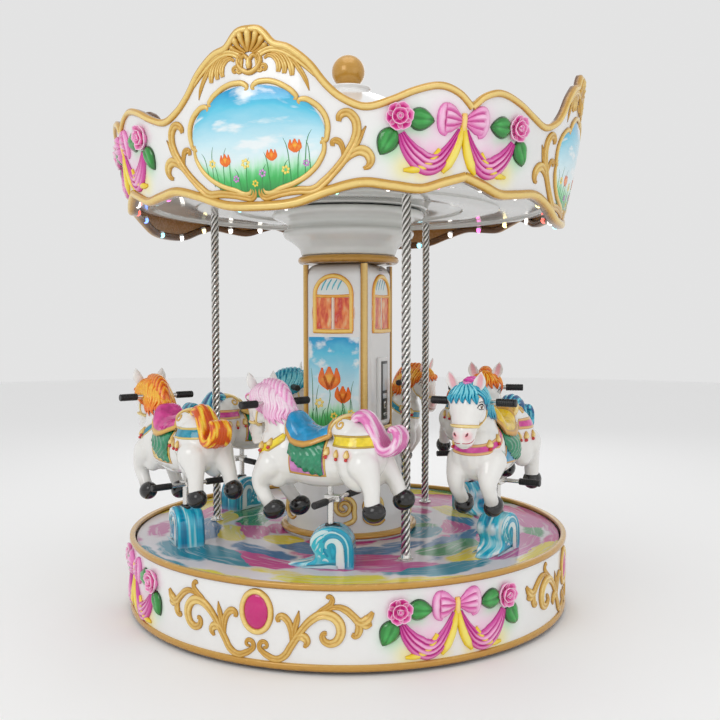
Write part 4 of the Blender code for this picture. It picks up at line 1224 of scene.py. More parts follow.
def make_windows():
    arch = [(86 * cos(radians(a)), 165 + 78 * sin(radians(a)), 10) for a in range(0, 181, 15)]
    frame_piece = strokes([[(86, 8, 10), (86, 60, 10), (86, 120, 10)] + arch + [(-86, 120, 10), (-86, 60, 10),
        (-86, 8, 10)], [(-92, 8, 10), (0, 6, 10), (92, 8, 10)], [(-84, 158, 7), (0, 156, 7), (84, 158, 7)]], BEAD)
    light = reshape(oval(0.082, 0.076, 24, 24, 0.002, 0.003),
        lambda co: Vector((co.x, 0.16 + max(-0.01, co.y), co.z + 0.001)))
    panes = join([moved(panel(70, 132, 18, 3.0, 8, 12), s * 0.043) for s in (-1, 1)], "panes")
    rails = strokes([[(0, 12, 5), (0, 80, 5), (0, 152, 5)]]
        + [[(s * 12, 20, 2.5), (s * 74, 20, 2.5), (s * 74, 148, 2.5), (s * 12, 148, 2.5), (s * 12, 20, 2.5)]
        for s in (-1, 1)], BEAD)
    streaks = flat_paint([[(x - 9, 178, 2), (x, 200, 4), (x + 16, 224, 2)] for x in (-46, -22, 4, 30)])
    picture = panel(238, 392, 0, 1.5, 48, 60)
    grass = flat_paint(blades([(-96, 4, -6, 2.1), (-84, 2, 10, 1.5), (-72, 0, -12, 0.9),
        (-58, 2, 16, 0.7), (-36, 0, -10, 0.6), (14, 0, -16, 0.7), (34, 2, 14, 0.8),
        (60, 0, -14, 1.0), (78, 2, 12, 1.7), (92, 4, -8, 1.1), (100, 0, 8, 0.6), (-104, 0, 10, 0.7)], 120)
        + [[(-22, 4, 2.2), (-26, 70, 2.0), (-14, 140, 1.8), (-18, 176, 1.6)],
        [(42, 4, 2.2), (50, 50, 2.0), (44, 100, 1.8), (46, 118, 1.6)]])
    red = flat_paint(tulip(-18, 168, 96) + tulip(46, 112, 70))
    yellow = flat_paint(daisy(-66, 106, 44) + daisy(84, 66, 36) + daisy(4, 52, 34))
    sill = strokes([[(-118, 0, 9), (0, 0, 9), (118, 0, 9)]], BEAD)
    rises = {grass: 0.0016, red: 0.0016, yellow: 0.0016, streaks: 0.0022}
    for k in range(4):
        azimuth = FACE_AZIMUTH + 90.0 * k
        for flat, name, paint, height in ((frame_piece, "window_frame", WINDOW_FRAME, 1.162),
                (light, "fanlight", GLASS_WHITE, 1.162), (panes, "shutters", SHUTTER_RED, 1.162),
                (rails, "shutter_rails", MULLION, 1.162), (streaks, "fanlight_strokes", GLASS_TEAL, 1.166),
                (sill, "column_sill", GOLD, 0.742), (picture, "panel_picture", PANEL_PICTURE, 0.752),
                (grass, "panel_grass", BLADE_GREEN, 0.753), (red, "panel_tulips", FLOWER_ORANGE, 0.753),
                (yellow, "panel_daisies", FLOWER_YELLOW, 0.753)):
            if k == 1 and name.startswith("panel"):
                continue
            piece = moved(copy_of(flat, name), z=rises.get(flat, 0.0))
            place(on_face(piece, azimuth, height, column_face), f"{name}_{k + 1}", "base", paint)
    drop(frame_piece, light, panes, rails, streaks, picture, grass, red, yellow, sill)


make_windows()


def block(width, height, depth, middle, rounding=0.003):
    """A bevelled box drawn flat: across, up and out in millimetres, back at depth zero."""
    bpy.ops.mesh.primitive_cube_add(size=1.0, location=(middle[0] * MM, middle[1] * MM, depth * 0.0005),
        scale=(width * MM, height * MM, depth * MM))
    obj = settle(bpy.context.object)
    edit(obj, "EDGE", True)
    bpy.ops.mesh.bevel(offset=rounding, segments=3)
    leave()
    return smooth(obj, 35.0)


def make_control_box():
    azimuth = FACE_AZIMUTH + 90.0
    parts = ((block(90, 290, 17, (0, 0), 0.005), "control_surround", WHITE, 0.1545, True),
        (block(64, 256, 4, (0, 0), 0.0015), "control_plate", BLACK_PLASTIC, 0.1705, False),
        (join([block(46, 116, 3, (0, 58), 0.001), block(40, 22, 3, (0, -24), 0.001)], "screens"),
        "control_screen", SCREEN_GREY, 0.1735, False),
        (join([block(22, 30, 4, (0, -64), 0.003), block(30, 12, 5, (0, -104), 0.002)], "coin"), "coin_slot", STEEL,
        0.1735, False), (join([block(4, 20, 2, (0, -64), 0.0006), block(26, 5, 2, (0, -104), 0.0006)], "slots"),
        "coin_slot_opening", BLACK_PLASTIC, 0.177, False))
    for obj, name, paint, distance, is_shell in parts:
        on_face(obj, azimuth, 0.91, lambda x: distance)
        place(obj, name, "base", paint, ("control_box",) if is_shell else ())
    vents = join([block(30, 4, 2, (0, 6 - 7 * k), 0.0008) for k in range(3)], "vents")
    place(on_face(vents, azimuth, 1.44, lambda x: 0.1545), "speaker_vents", "base", BLACK_PLASTIC)


make_control_box()


def at_seat(k, height, turn=0.0):
    """Where a seat stands: on its own circle, heading clockwise round the ride and turned from there."""
    azimuth = FIRST_SEAT + 360.0 / SEATS * k
    return (Matrix.Translation(polar(HORSE_CIRCLES[k], azimuth, height))
        @ Matrix.Rotation(radians(azimuth - 90.0 + turn), 4, "Z"))


# Housings of the posts, shaped as breaking waves; the lean points to the horse's head
WAVE_OUTLINE = [(-92, 0), (-92, 44), (-89, 88), (-76, 122), (-50, 144), (-18, 154), (14, 152), (42, 140), (63, 116),
    (72, 92), (63, 68), (53, 49), (60, 29), (96, 18), (136, 12), (160, 3), (160, 0)]


def wave_paint():
    """Blue gelcoat with soft white runs that follow the water."""
    material, tree, shader = new_paint("wave_blue", 0.6)
    flow = node(tree, "ShaderNodeCombineXYZ", {0: maths(tree, "MULTIPLY", marked(tree, "across"), 5.2),
        1: maths(tree, "MULTIPLY", marked(tree, "flow"), 1.7), 2: marked(tree, "turn")}).outputs[0]
    run = noise(tree, flow, 1.0, 3.0, 0.5)
    run = maths(tree, "ADD", run, maths(tree, "MULTIPLY", maths(tree, "SUBTRACT", marked(tree, "flow"), 0.45), 0.12))
    colour = colour_ramp(tree, run, ((0.36, (0.0, 0.18, 0.36)), (0.46, (0.0, 0.38, 0.6)), (0.54, (0.03, 0.55, 0.72)),
        (0.6, (0.42, 0.8, 0.88)), (0.66, (0.84, 0.9, 0.9))))
    colour = blend(tree, marked(tree, "foam"), colour, (0.8, 0.86, 0.86, 1.0))
    put_on(tree, shader, GELCOAT, colour, Mottle=0.05, Gloss=0.08, Ripple=0.06)
    return material


WAVE_BLUE = wave_paint()
WAVE_LIGHT = shaded_relief_paint("wave_light", (0.2, 0.62, 0.76), (0.62, 0.82, 0.86), (0.86, 0.89, 0.9), 0.25, 0.6)
WAVE_TEAL = shaded_relief_paint("wave_teal", (0.0, 0.15, 0.3), (0.0, 0.3, 0.5), (0.03, 0.5, 0.7), 0.25, 0.6)


def make_waves():
    line = [Vector((x, z, 0.0)) * MM for x, z in WAVE_OUTLINE]
    outline = [along(line, k / 64.0) for k in range(65)]
    wave = drawn([(point.x, point.y) for point in outline])
    bpy.ops.mesh.edge_face_add()
    bpy.ops.transform.translate(value=(0.0, -WAVE_HALF_WIDTH, 0.0))
    slices = 10
    for _ in range(slices):
        bpy.ops.mesh.extrude_region_move(TRANSFORM_OT_translate={"value": (0.0, 2.0 * WAVE_HALF_WIDTH / slices, 0.0)})
    leave()
    tidy(wave, 60.0)

    def on_side(co):
        return abs(abs(co.y) - WAVE_HALF_WIDTH) < 1e-5
    pick_edges(wave, lambda a, b: on_side(a) and on_side(b) and max(a.z, b.z) > 0.004)
    bpy.ops.mesh.bevel(offset=0.009, segments=3)
    leave()

    def swell(co):
        """Scalloped crest and a tongue that runs to a point."""
        front = ramp(0.055, 0.165, co.x) * ramp(0.045, 0.03, co.z)
        side = co.y * (1.0 - 0.45 * front)
        lobe = 0.006 * sin(co.y * 110.0 + 0.7) * ramp(0.03, 0.07, co.x) * ramp(0.05, 0.09, co.z)
        return Vector((co.x + lobe - 0.03 * front * (co.y / WAVE_HALF_WIDTH) ** 2, side, co.z))
    reshape(wave, swell)
    for radius, depth, middle, stretch in ((0.0165, 0.06, (-0.012, 0.0, 0.164), 2.0),
            (0.0142, 0.4, (0.0, 0.0, 0.22), 1.0)):
        bpy.ops.mesh.primitive_cylinder_add(vertices=32, radius=radius, depth=depth, location=middle)
        cutter = bpy.context.object
        cutter.scale.x = stretch
        apply(wave, "BOOLEAN", operation="DIFFERENCE", object=settle(cutter), solver="EXACT")
        drop(cutter)
    total = len(outline) - 1

    def flow(co):
        nearest = min(range(total + 1), key=lambda k: (outline[k].x - co.x) ** 2 + (outline[k].y - co.z) ** 2)
        return nearest / total
    mark(wave, "flow", flow)
    mark(wave, "across", lambda co: (co.y + WAVE_HALF_WIDTH) / 0.14)

    def foam_at(co):
        lip = 0.75 * ramp(0.064, 0.071, co.x) * ramp(0.04, 0.06, co.z)
        return 0.3 * ramp(0.012, 0.003, co.z) + lip
    mark(wave, "foam", foam_at)
    smooth(wave, 45.0)
    foam = [[(-69, 2, 19),
        (-69, 50, 19), (-68, 84, 17), (-58, 106, 14), (-34, 116, 10), (-12, 108, 8), (-3, 92, 5), (-6, 82, 3)],
        [(-105, 10, 2.5), (-105, 60, 3), (-101, 98, 3.5), (-82, 130, 4), (-42, 149, 4.5), (-4, 143, 4), (14, 126, 2)],
        [(66, 92, 3), (58, 118, 7), (38, 138, 9), (10, 150, 9), (-14, 153, 3)],
        [(42, 100, 2), (34, 116, 5), (18, 128, 6), (4, 132, 2)], [(46, 74, 2), (36, 88, 4), (28, 104, 2)],
        [(-58, 7, 8), (-20, 9, 8), (18, 7, 6), (60, 6, 4), (110, 6, 2.5)], [(-16, 30, 3), (0, 38, 6), (12, 34, 3)],
        [(22, 44, 2), (28, 52, 4.5), (34, 48, 2)], [(-6, 58, 2), (4, 64, 4), (12, 60, 2)],
        [(20, 70, 2), (24, 78, 3.5), (20, 86, 1.5)]]
    deep = [[(-121, 10, 4), (-121, 60, 5), (-115, 100, 5), (-96, 131, 5), (-64, 149, 5), (-30, 158, 3)],
        [(-90, 8, 4), (-90, 60, 6), (-86, 96, 7), (-68, 124, 8), (-38, 133, 8), (-8, 126, 6), (10, 108, 3)],
        [(-36, 40, 6), (-36, 70, 12), (-28, 92, 8)], [(6, 84, 4), (2, 70, 6), (-14, 50, 5)]]
    lines = {"wave_foam": (foam, WAVE_LIGHT), "wave_depth": (deep, WAVE_TEAL)}
    flats = {"wave_body": (wave, WAVE_BLUE)}
    for name, (paths, paint) in lines.items():
        sides = []
        for side in (-1.0, 1.0):
            flat = flat_paint([[(x * 0.816 + 14.0, y * 0.92, w * 0.85) for x, y, w in path] for path in paths])
            reshape(flat, lambda co: Vector((co.x, side * (0.0548 + co.z), co.y)))
            sides.append(tidy(flat, 60.0))
        flats[name] = (join(sides, name), paint)
    ring = lathe([(0.014, 0.148), (0.014, 0.1565), (0.0175, 0.158), (0.021, 0.1565), (0.0215, 0.148)], 36, 60.0,
        closed=True)
    reshape(ring, lambda co: Vector((co.x * (1.0 if co.x > 0 else 1.7), co.y, co.z + 0.02 * co.x)))
    flats["wave_collar"] = (ring, BLACK_PLASTIC)
    for k in range(SEATS):
        matrix = at_seat(k, DECK_TOP)
        for name, (flat, paint) in flats.items():
            piece = copy_of(flat, name)
            piece.data.transform(matrix)
            if name == "wave_body":
                mark(piece, "turn", lambda co: 3.7 * k)
                place(piece, f"{name}_{k + 1}", "carousel", paint, (f"wave_{k + 1}",))
            else:
                place(piece, f"{name}_{k + 1}", "carousel", paint)
    drop(*(flat for flat, _ in flats.values()))


make_waves()


# Horses, modelled once facing +X: the belly's lowest point is at height zero
def balls(forms, name):
    """Balls of (middle, half sizes, tilt) in one object."""
    obj = settle(sphere(20, 12, 0.01, location=forms[0][0]))
    edit(obj)
    for middle, sizes, tilt in forms:
        sphere(20, 12, location=middle, scale=sizes, rotation=(0.0, radians(tilt), 0.0))
    leave()
    obj.name = name
    return obj


def limb(path, count, flat=1.0):
    """A row of balls along a smooth path of (x, y, z, radius) points."""
    row = []
    for k in range(count):
        x, y, z, radius = along(path, k / (count - 1.0))
        row.append(((x, y, z), (radius, radius * flat, radius), 0.0))
    return row


def two_sided(forms):
    return forms + [((x, -y, z), sizes, tilt) for (x, y, z), sizes, tilt in forms]


def fuse(obj, cell, passes):
    """Melts overlapping balls into one smooth skin."""
    apply(obj, "REMESH", mode="VOXEL", voxel_size=cell, use_smooth_shade=True)
    if passes:
        apply(obj, "SMOOTH", factor=0.5, iterations=passes)
    return smooth(obj)


def on_skin(obj, skin, ray):
    """Lays a flat piece on a skin: ray(x, y) gives where to look from and which way."""
    def lay(co):
        start, way = ray(co.x, co.y)
        hit, spot_hit, normal, _ = skin.ray_cast(start, way)
        if not hit:
            hit, spot_hit, normal, _ = skin.closest_point_on_mesh(start + way * 0.3)
        return spot_hit + (normal * 0.6 - way * 0.4).normalized() * co.z
    reshape(obj, lay)
    return tidy(obj, 60.0)


def from_left(x, y):
    """Looks at the horse from its left; flat x runs to the head."""
    return Vector((x, 0.3, y)), Vector((0.0, -1.0, 0.0))


def from_round(middle, reach, radius=0.1, tilt=0.0, turn=0.0):
    """Looks inwards from all round an upright axis."""
    def ray(x, y):
        angle = radians(turn) + x / radius
        way = Vector((-cos(angle), -sin(angle), -tilt)).normalized()
        return Vector((middle, 0.0, y)) - way * reach, way
    return ray


def from_front(x, y):
    """Looks at the face; flat x runs to the horse's left."""
    way = Vector((-1.0, 0.0, 0.0))
    return Vector((0.36, x, y)) - way * 0.1, way


def from_temple(side):
    """Looks at the eye from in front and beside."""
    way = Vector((-sin(radians(38.0)), -side * cos(radians(38.0)), 0.0))
    across = Vector((0.0, 0.0, 1.0)).cross(way) * -side
    return lambda x, y: (Vector((0.318, side * 0.052, 0.3 + y)) + across * x - way * 0.12, way)


def set_out(obj, places, edges):
    """Moves the vertices to their places and stores how far inside the border they lie."""
    for vertex, where in zip(obj.data.vertices, places):
        vertex.co = where
    store(obj, "edge", edges)


def patch(low, high, columns=30, rows=20, puff=2.0, bead=2.0, band=10.0, thickness=4.0):
    """A padded panel between two edges of (x, y) in millimetres, with a raised border."""
    low, high = ([Vector((x, y, 0.0)) for x, y in line] for line in (low, high))
    obj = grid(columns, rows)
    length = sum((b - a).length for a, b in zip(low, low[1:]))
    places, edges = [], []
    for vertex in obj.data.vertices:
        s, t = vertex.co.x + 0.5, vertex.co.y + 0.5
        foot, head = along(low, s), along(high, s)
        middle = foot.lerp(head, t)
        tall = (head - foot).length
        inward = min(s * length, (1.0 - s) * length, t * tall, (1.0 - t) * tall)
        rise = puff * ramp(0.0, 2.5 * band, inward) + bead * exp(-((inward - band * 0.5) / (band * 0.42)) ** 2)
        places.append(Vector((middle.x, middle.y, rise)) * MM)
        edges.append(min(1.0, inward / (2.0 * band)))
    set_out(obj, places, edges)
    return thicken(obj, thickness * MM)


def trimmed(name, inside, border=(0.7, 0.36, 0.06), share=0.5, coat=0.5):
    """A painted panel with a border of another colour; the border carries painted shade at both feet of its raised
    bead and a painted highlight on the bead.
    """
    material, tree, shader = new_paint(name, coat)
    edge = marked(tree, "edge")
    dab = noise(tree, spot(tree), 34.0, 2.0)
    tone = colour_ramp(tree, dab, ((0.3, tuple(c * 0.72 for c in inside)), (0.55, inside),
        (0.8, tuple(min(0.95, c * 1.1 + 0.06) for c in inside))))
    # Painted light on the border: darkest at its outer foot, full colour on the raised bead, darker again at its
    # inner foot.
    lip = colour_ramp(tree, edge, ((0.0, tuple(c * 0.45 for c in border)), (share * 0.45, border),
        (share * 0.9, tuple(c * 0.6 for c in border))))
    cover = node(tree, "ShaderNodeMapRange", {0: edge, 1: share - 0.03, 2: share + 0.03}).outputs[0]
    put_on(tree, shader, GELCOAT, blend(tree, cover, lip, tone), Mottle=0.04, Gloss=0.06, Ripple=0.06)
    return material


def horse_white():
    """White gelcoat with a blush at the ears, nose and bells and grey over the hooves."""
    material, tree, shader = new_paint("horse_white", 0.6)
    colour = blend(tree, marked(tree, "shade"), (0.84, 0.83, 0.8, 1.0), (0.3, 0.28, 0.25, 1.0))
    colour = blend(tree, marked(tree, "blush"), colour, (0.9, 0.36, 0.42, 1.0))
    put_on(tree, shader, GELCOAT, colour, Mottle=0.02, Gloss=0.06, Ripple=0.05)
    return material


HORSE_WHITE = horse_white()
HOOF_BLACK = gelcoat("hoof_black", (0.008, 0.007, 0.007), 0.3, 0.14, 0.5, 0.4)
GRIP_RUBBER = gelcoat("grip_rubber", (0.014, 0.014, 0.015), 0.25, 0.34, 0.25, 0.05)
EYE_WHITE = gelcoat("eye_white", (0.85, 0.84, 0.8), 0.02, 0.05, 0.0, 0.8)
LINE_BLACK = gelcoat("line_black", (0.014, 0.01, 0.01), 0.1, 0.05, 0.0, 0.8)
EYE_BROWN = gelcoat("eye_brown", (0.1, 0.035, 0.012), 0.1, 0.05, 0.0, 0.8)
BRIDLE_GOLD = shaded_relief_paint("bridle_gold", (0.28, 0.1, 0.01), (0.66, 0.4, 0.08), (0.9, 0.74, 0.34), 0.2)
LIP_RED = gelcoat("lip_red", (0.5, 0.02, 0.06), 0.1, 0.05, 0.0, 0.6)
BELL_RED = gelcoat("bell_red", (0.6, 0.012, 0.012), 0.1, 0.05, 0.0, 0.8)
BLANKET_GREEN = trimmed("blanket_green", (0.0, 0.25, 0.11), (0.0, 0.16, 0.08), 0.2, 0.9)

# Hair paints: painted shade in the grooves between locks, painted highlight on their crests.
MANE_PINK = shaded_relief_paint("mane_pink", (0.76, 0.18, 0.48), (0.89, 0.48, 0.71), (0.95, 0.79, 0.87), 0.35)
MANE_ORANGE = shaded_relief_paint("mane_orange", (0.5, 0.02, 0.0), (0.86, 0.18, 0.0), (0.96, 0.56, 0.04), 0.45)
TAIL_YELLOW = shaded_relief_paint("tail_yellow", (0.66, 0.08, 0.0), (0.92, 0.38, 0.0), (0.97, 0.72, 0.06), 0.4)
MANE_TURQUOISE = shaded_relief_paint("mane_turquoise", (0.0, 0.08, 0.24), (0.0, 0.34, 0.5), (0.26, 0.74, 0.82), 0.35)
MANE_MAGENTA = shaded_relief_paint("mane_magenta", (0.3, 0.0, 0.16), (0.7, 0.04, 0.38), (0.9, 0.4, 0.66), 0.35)

TRIMS = {name: trimmed(name, *colours) for name, colours in {"saddle_blue": ((0.0, 0.31, 0.62),),
    "saddle_yellow": ((0.88, 0.58, 0.01),), "saddle_magenta": ((0.7, 0.045, 0.3), (0.8, 0.46, 0.08)),
    "saddle_orange": ((0.86, 0.25, 0.02), (0.72, 0.46, 0.08)), "cloth_violet": ((0.66, 0.22, 0.55),),
    "cloth_yellow": ((0.88, 0.58, 0.02),), "cloth_blue": ((0.02, 0.3, 0.52),), "band_yellow": ((0.92, 0.7, 0.02),
    (0.62, 0.4, 0.05), 0.42), "band_magenta": ((0.7, 0.05, 0.33), (0.88, 0.5, 0.2), 0.62),
    "band_teal": ((0.0, 0.27, 0.4), (0.82, 0.62, 0.18), 0.46)}.items()}


def scheme(hair, saddle, cloth, band, tail=None, crest=None):
    """The paints of one horse: mane and forelock, saddle, cloth, bands, tail, crest."""
    return {"mane": hair, "forelock": hair, "tail": tail or hair, "crest": crest or hair,
        "saddle": TRIMS[f"saddle_{saddle}"], "cloth": TRIMS[f"cloth_{cloth}"], "band": TRIMS[f"band_{band}"]}


SCHEMES = (scheme(MANE_PINK, "blue", "violet", "yellow"),
    scheme(MANE_TURQUOISE, "yellow", "blue", "magenta", crest=MANE_MAGENTA),
    scheme(MANE_ORANGE, "blue", "yellow", "teal", TAIL_YELLOW),
    scheme(MANE_ORANGE, "magenta", "yellow", "teal", TAIL_YELLOW),
    scheme(MANE_TURQUOISE, "orange", "violet", "magenta"),
    scheme(MANE_ORANGE, "magenta", "yellow", "teal", TAIL_YELLOW))

TRUNK = [((0.16, 0.0, 0.122), (0.112, 0.096, 0.12), 0), ((0.02, 0.0, 0.114), (0.2, 0.093, 0.106), 0),
    ((-0.155, 0.0, 0.148), (0.112, 0.1, 0.116), 0), ((0.2, 0.0, 0.15), (0.074, 0.08, 0.09), 0)]
HAUNCHES = two_sided([((0.19, 0.046, 0.085), (0.066, 0.048, 0.09), 20),
    ((-0.175, 0.048, 0.11), (0.084, 0.052, 0.098), 10)])
LIMBS = (limb([(0.195, 0.062, 0.085, 0.058), (0.232, 0.066, 0.04, 0.042), (0.24, 0.068, 0.004, 0.032),
    (0.22, 0.067, -0.036, 0.027), (0.194, 0.066, -0.072, 0.027)], 18)
    + limb([(0.19, -0.062, 0.08, 0.056), (0.222, -0.066, 0.035, 0.04),
    (0.222, -0.068, -0.004, 0.031), (0.196, -0.067, -0.042, 0.027), (0.164, -0.066, -0.074, 0.026)], 18)
    + limb([(-0.2, 0.056, 0.112, 0.062), (-0.226, 0.062, 0.068, 0.042),
    (-0.24, 0.066, 0.025, 0.032), (-0.242, 0.066, -0.012, 0.03), (-0.246, 0.066, -0.04, 0.028)], 18)
    + limb([(-0.2, -0.056, 0.122, 0.062), (-0.24, -0.062, 0.082, 0.041), (-0.266, -0.066, 0.046, 0.032),
    (-0.28, -0.066, 0.016, 0.029), (-0.294, -0.066, -0.01, 0.027)], 18))
HOOVES = [((0.18, 0.066, -0.084), (0.047, 0.037, 0.037), 24), ((0.15, -0.066, -0.09), (0.046, 0.037, 0.038), 28),
    ((-0.25, 0.066, -0.05), (0.045, 0.038, 0.039), 12), ((-0.303, -0.066, -0.022), (0.044, 0.037, 0.039), 24)]
NECK = limb([(0.165, 0.0, 0.17, 0.092), (0.185, 0.0, 0.23, 0.078), (0.212, 0.0, 0.285, 0.068),
    (0.252, 0.0, 0.325, 0.064)], 14, 0.8)
HEAD = [((0.288, 0.0, 0.318), (0.062, 0.068, 0.066), 0), ((0.312, 0.0, 0.296), (0.052, 0.067, 0.066), 0),
    ((0.322, 0.0, 0.255), (0.043, 0.054, 0.07), 0), ((0.33, 0.0, 0.208), (0.042, 0.044, 0.05), 0),
    ((0.334, 0.0, 0.184), (0.036, 0.041, 0.034), -12), ((0.318, 0.0, 0.168), (0.03, 0.031, 0.024), 0)]
HEAD += two_sided([((0.284, 0.03, 0.276), (0.042, 0.036, 0.046), 0), ((0.352, 0.021, 0.203), (0.02, 0.018, 0.019), 0),
    ((0.326, 0.05, 0.326), (0.026, 0.018, 0.013), -15)])


def ear():
    """A pointed ear, hollow in front."""
    obj = sphere(20, 16)
    blush = []

    def form(co):
        t = 0.5 + 0.5 * co.z
        half = 0.021 * sin(pi * min(1.0, 0.12 + 0.88 * t)) ** 0.8 + 0.003
        y = co.y * half
        x = co.x * 0.009
        if co.x > 0.0:
            x -= 0.017 * (1.0 - co.y ** 2) * sin(pi * t)
        blush.append(ramp(0.35, 0.75, co.x) * ramp(0.05, 0.35, t) * ramp(0.66, 0.36, abs(co.y)) * 0.8)
        return Vector((x + 0.016 * t, y + 0.018 * t, 0.08 * t))
    reshape(obj, form)
    store(obj, "blush", blush)
    return moved(smooth(obj), 0.312, 0.043, 0.35)


def flipped(obj, name):
    """The same piece on the horse's other side."""
    twin = copy_of(obj, name)
    reshape(twin, lambda co: Vector((co.x, -co.y, co.z)))
    edit(twin, "FACE", True)
    bpy.ops.mesh.flip_normals()
    leave()
    return twin


def pair(obj):
    return join([obj, flipped(obj, "other")], obj.name)


SADDLE_LINE = ((0.0, 0.134, 0.146, 22), (0.1, 0.117, 0.162, 38), (0.22, 0.093, 0.14, 53), (0.36, 0.064, 0.116, 60),
    (0.52, 0.03, 0.106, 62), (0.68, -0.002, 0.106, 57), (0.84, -0.036, 0.118, 46), (1.0, -0.066, 0.14, 33))


def make_saddle(skin):
    """The seat: a shell over the back, lifted to a pommel in front and to the cantle behind."""
    obj = grid(34, 52, 2.0)
    places, edges = [], []
    for vertex in obj.data.vertices:
        s, side = vertex.co.x * 0.5 + 0.5, vertex.co.y
        for a, b in zip(SADDLE_LINE, SADDLE_LINE[1:]):
            if s <= b[0] + 1e-6:
                f = (s - a[0]) / (b[0] - a[0])
                x, spine, flap = (p + (q - p) * f for p, q in zip(a[1:], b[1:]))
                break
        angle = radians(flap) * side
        way = Vector((0.0, -sin(angle), -cos(angle)))
        hit, place_hit, _, _ = skin.ray_cast(Vector((x, 0.0, 0.12)) - way * 0.3, way)
        body = (place_hit - Vector((x, 0.0, 0.12))).length if hit else 0.1
        reach = spine + (body + 0.008 - spine) * ramp(0.3, 1.0, abs(side))
        reach = max(reach, body + 0.006)
        inward = min(s * 230.0, (1.0 - s) * 230.0, (1.0 - abs(side)) * radians(flap) * reach * 1000.0)
        reach += 0.0045 * exp(-((inward - 8.0) / 6.0) ** 2)
        places.append(Vector((x, 0.0, 0.12)) - way * reach)
        edges.append(min(1.0, inward / 32.0))
    set_out(obj, places, edges)
    return tidy(thicken(obj, 0.01), 50.0)


MANE_LOCKS = [[(326, 386, 6), (322, 364, 11), (306, 338, 11), (300, 318, 7), (292, 306, 2)],
    [(306, 398, 7), (298, 366, 13), (278, 330, 13), (272, 300, 9), (258, 278, 2)],
    [(280, 403, 7), (268, 362, 14), (246, 322, 14), (242, 286, 10), (226, 256, 2)],
    [(256, 401, 7), (240, 358, 14), (218, 316, 14), (216, 276, 10), (198, 246, 2)],
    [(232, 395, 7), (214, 352, 14), (192, 310, 14), (192, 270, 10), (172, 240, 2)],
    [(208, 384, 7), (190, 344, 14), (168, 302, 13), (168, 266, 9), (152, 246, 2)],
    [(184, 366, 7), (168, 330, 13), (148, 294, 12), (146, 268, 7), (134, 254, 2)],
    [(164, 340, 7), (150, 310, 12), (134, 286, 9), (128, 270, 2)]]
FORELOCKS = [[(x * 0.4, 377, 7), (x * 0.8, 360, 13), (x + 3, 335, 14), (x * 1.02, 310, 10),
    (x * 1.05 + 4, 290 - abs(x) * 0.1, 2.5)] for x in (-42, -21, 0, 21, 42)]
CREST_ROW = [(0.318, 0.0, 0.37, 0.01), (0.305, 0.0, 0.378, 0.015), (0.28, 0.0, 0.383, 0.022),
    (0.24, 0.0, 0.379, 0.026), (0.2, 0.0, 0.366, 0.028), (0.168, 0.0, 0.334, 0.026), (0.148, 0.0, 0.296, 0.022),
    (0.138, 0.0, 0.27, 0.014)]


def tail_strands():
    """Seven strands that rise, fall and curl up at the end."""
    paths = []
    for k, y in enumerate((-0.034, -0.023, -0.012, 0.0, 0.012, 0.023, 0.034)):
        lift = 0.012 * (1.0 - (y / 0.036) ** 2) + 0.003 * (k % 2)
        spread = 1.0 + 0.25 * (k % 2)
        paths.append([(-0.128, y * 0.5, 0.248 + lift, 0.012), (-0.15, y * 0.7, 0.272 + lift, 0.015),
            (-0.182, y * 0.8, 0.277 + lift, 0.017), (-0.214, y * 0.9, 0.246 + lift * 0.6, 0.018),
            (-0.238, y, 0.204, 0.018), (-0.262, y * 1.1 * spread, 0.17 - lift * 0.5, 0.018),
            (-0.294, y * 1.1 * spread, 0.17 - lift * 0.4, 0.017), (-0.318, y, 0.196, 0.016),
            (-0.322, y * 0.9, 0.228, 0.015), (-0.3, y * 0.8, 0.246, 0.012), (-0.284, y * 0.6, 0.234, 0.006)])
    return paths


def bell_row(spots, ray, skin, name):
    """Small bells with red clappers, hanging under a band; returns both parts."""
    bells = [[(x - 1.5, y + 15, 3.6), (x, y + 7, 8.6), (x + 0.5, y - 4, 12.2), (x + 1, y - 11, 10.8),
        (x + 1, y - 15, 4.5)] for x, y in spots]
    shells = on_skin(strokes(bells, BEAD, fine=4), skin, ray)
    drops = []
    for x, y in spots:
        drops.append(settle(sphere(14, 8, 0.0068, location=((x + 1) * MM, (y - 20) * MM, 0.004))))
    clappers = on_skin(join(drops, name), skin, ray)
    return shells, clappers


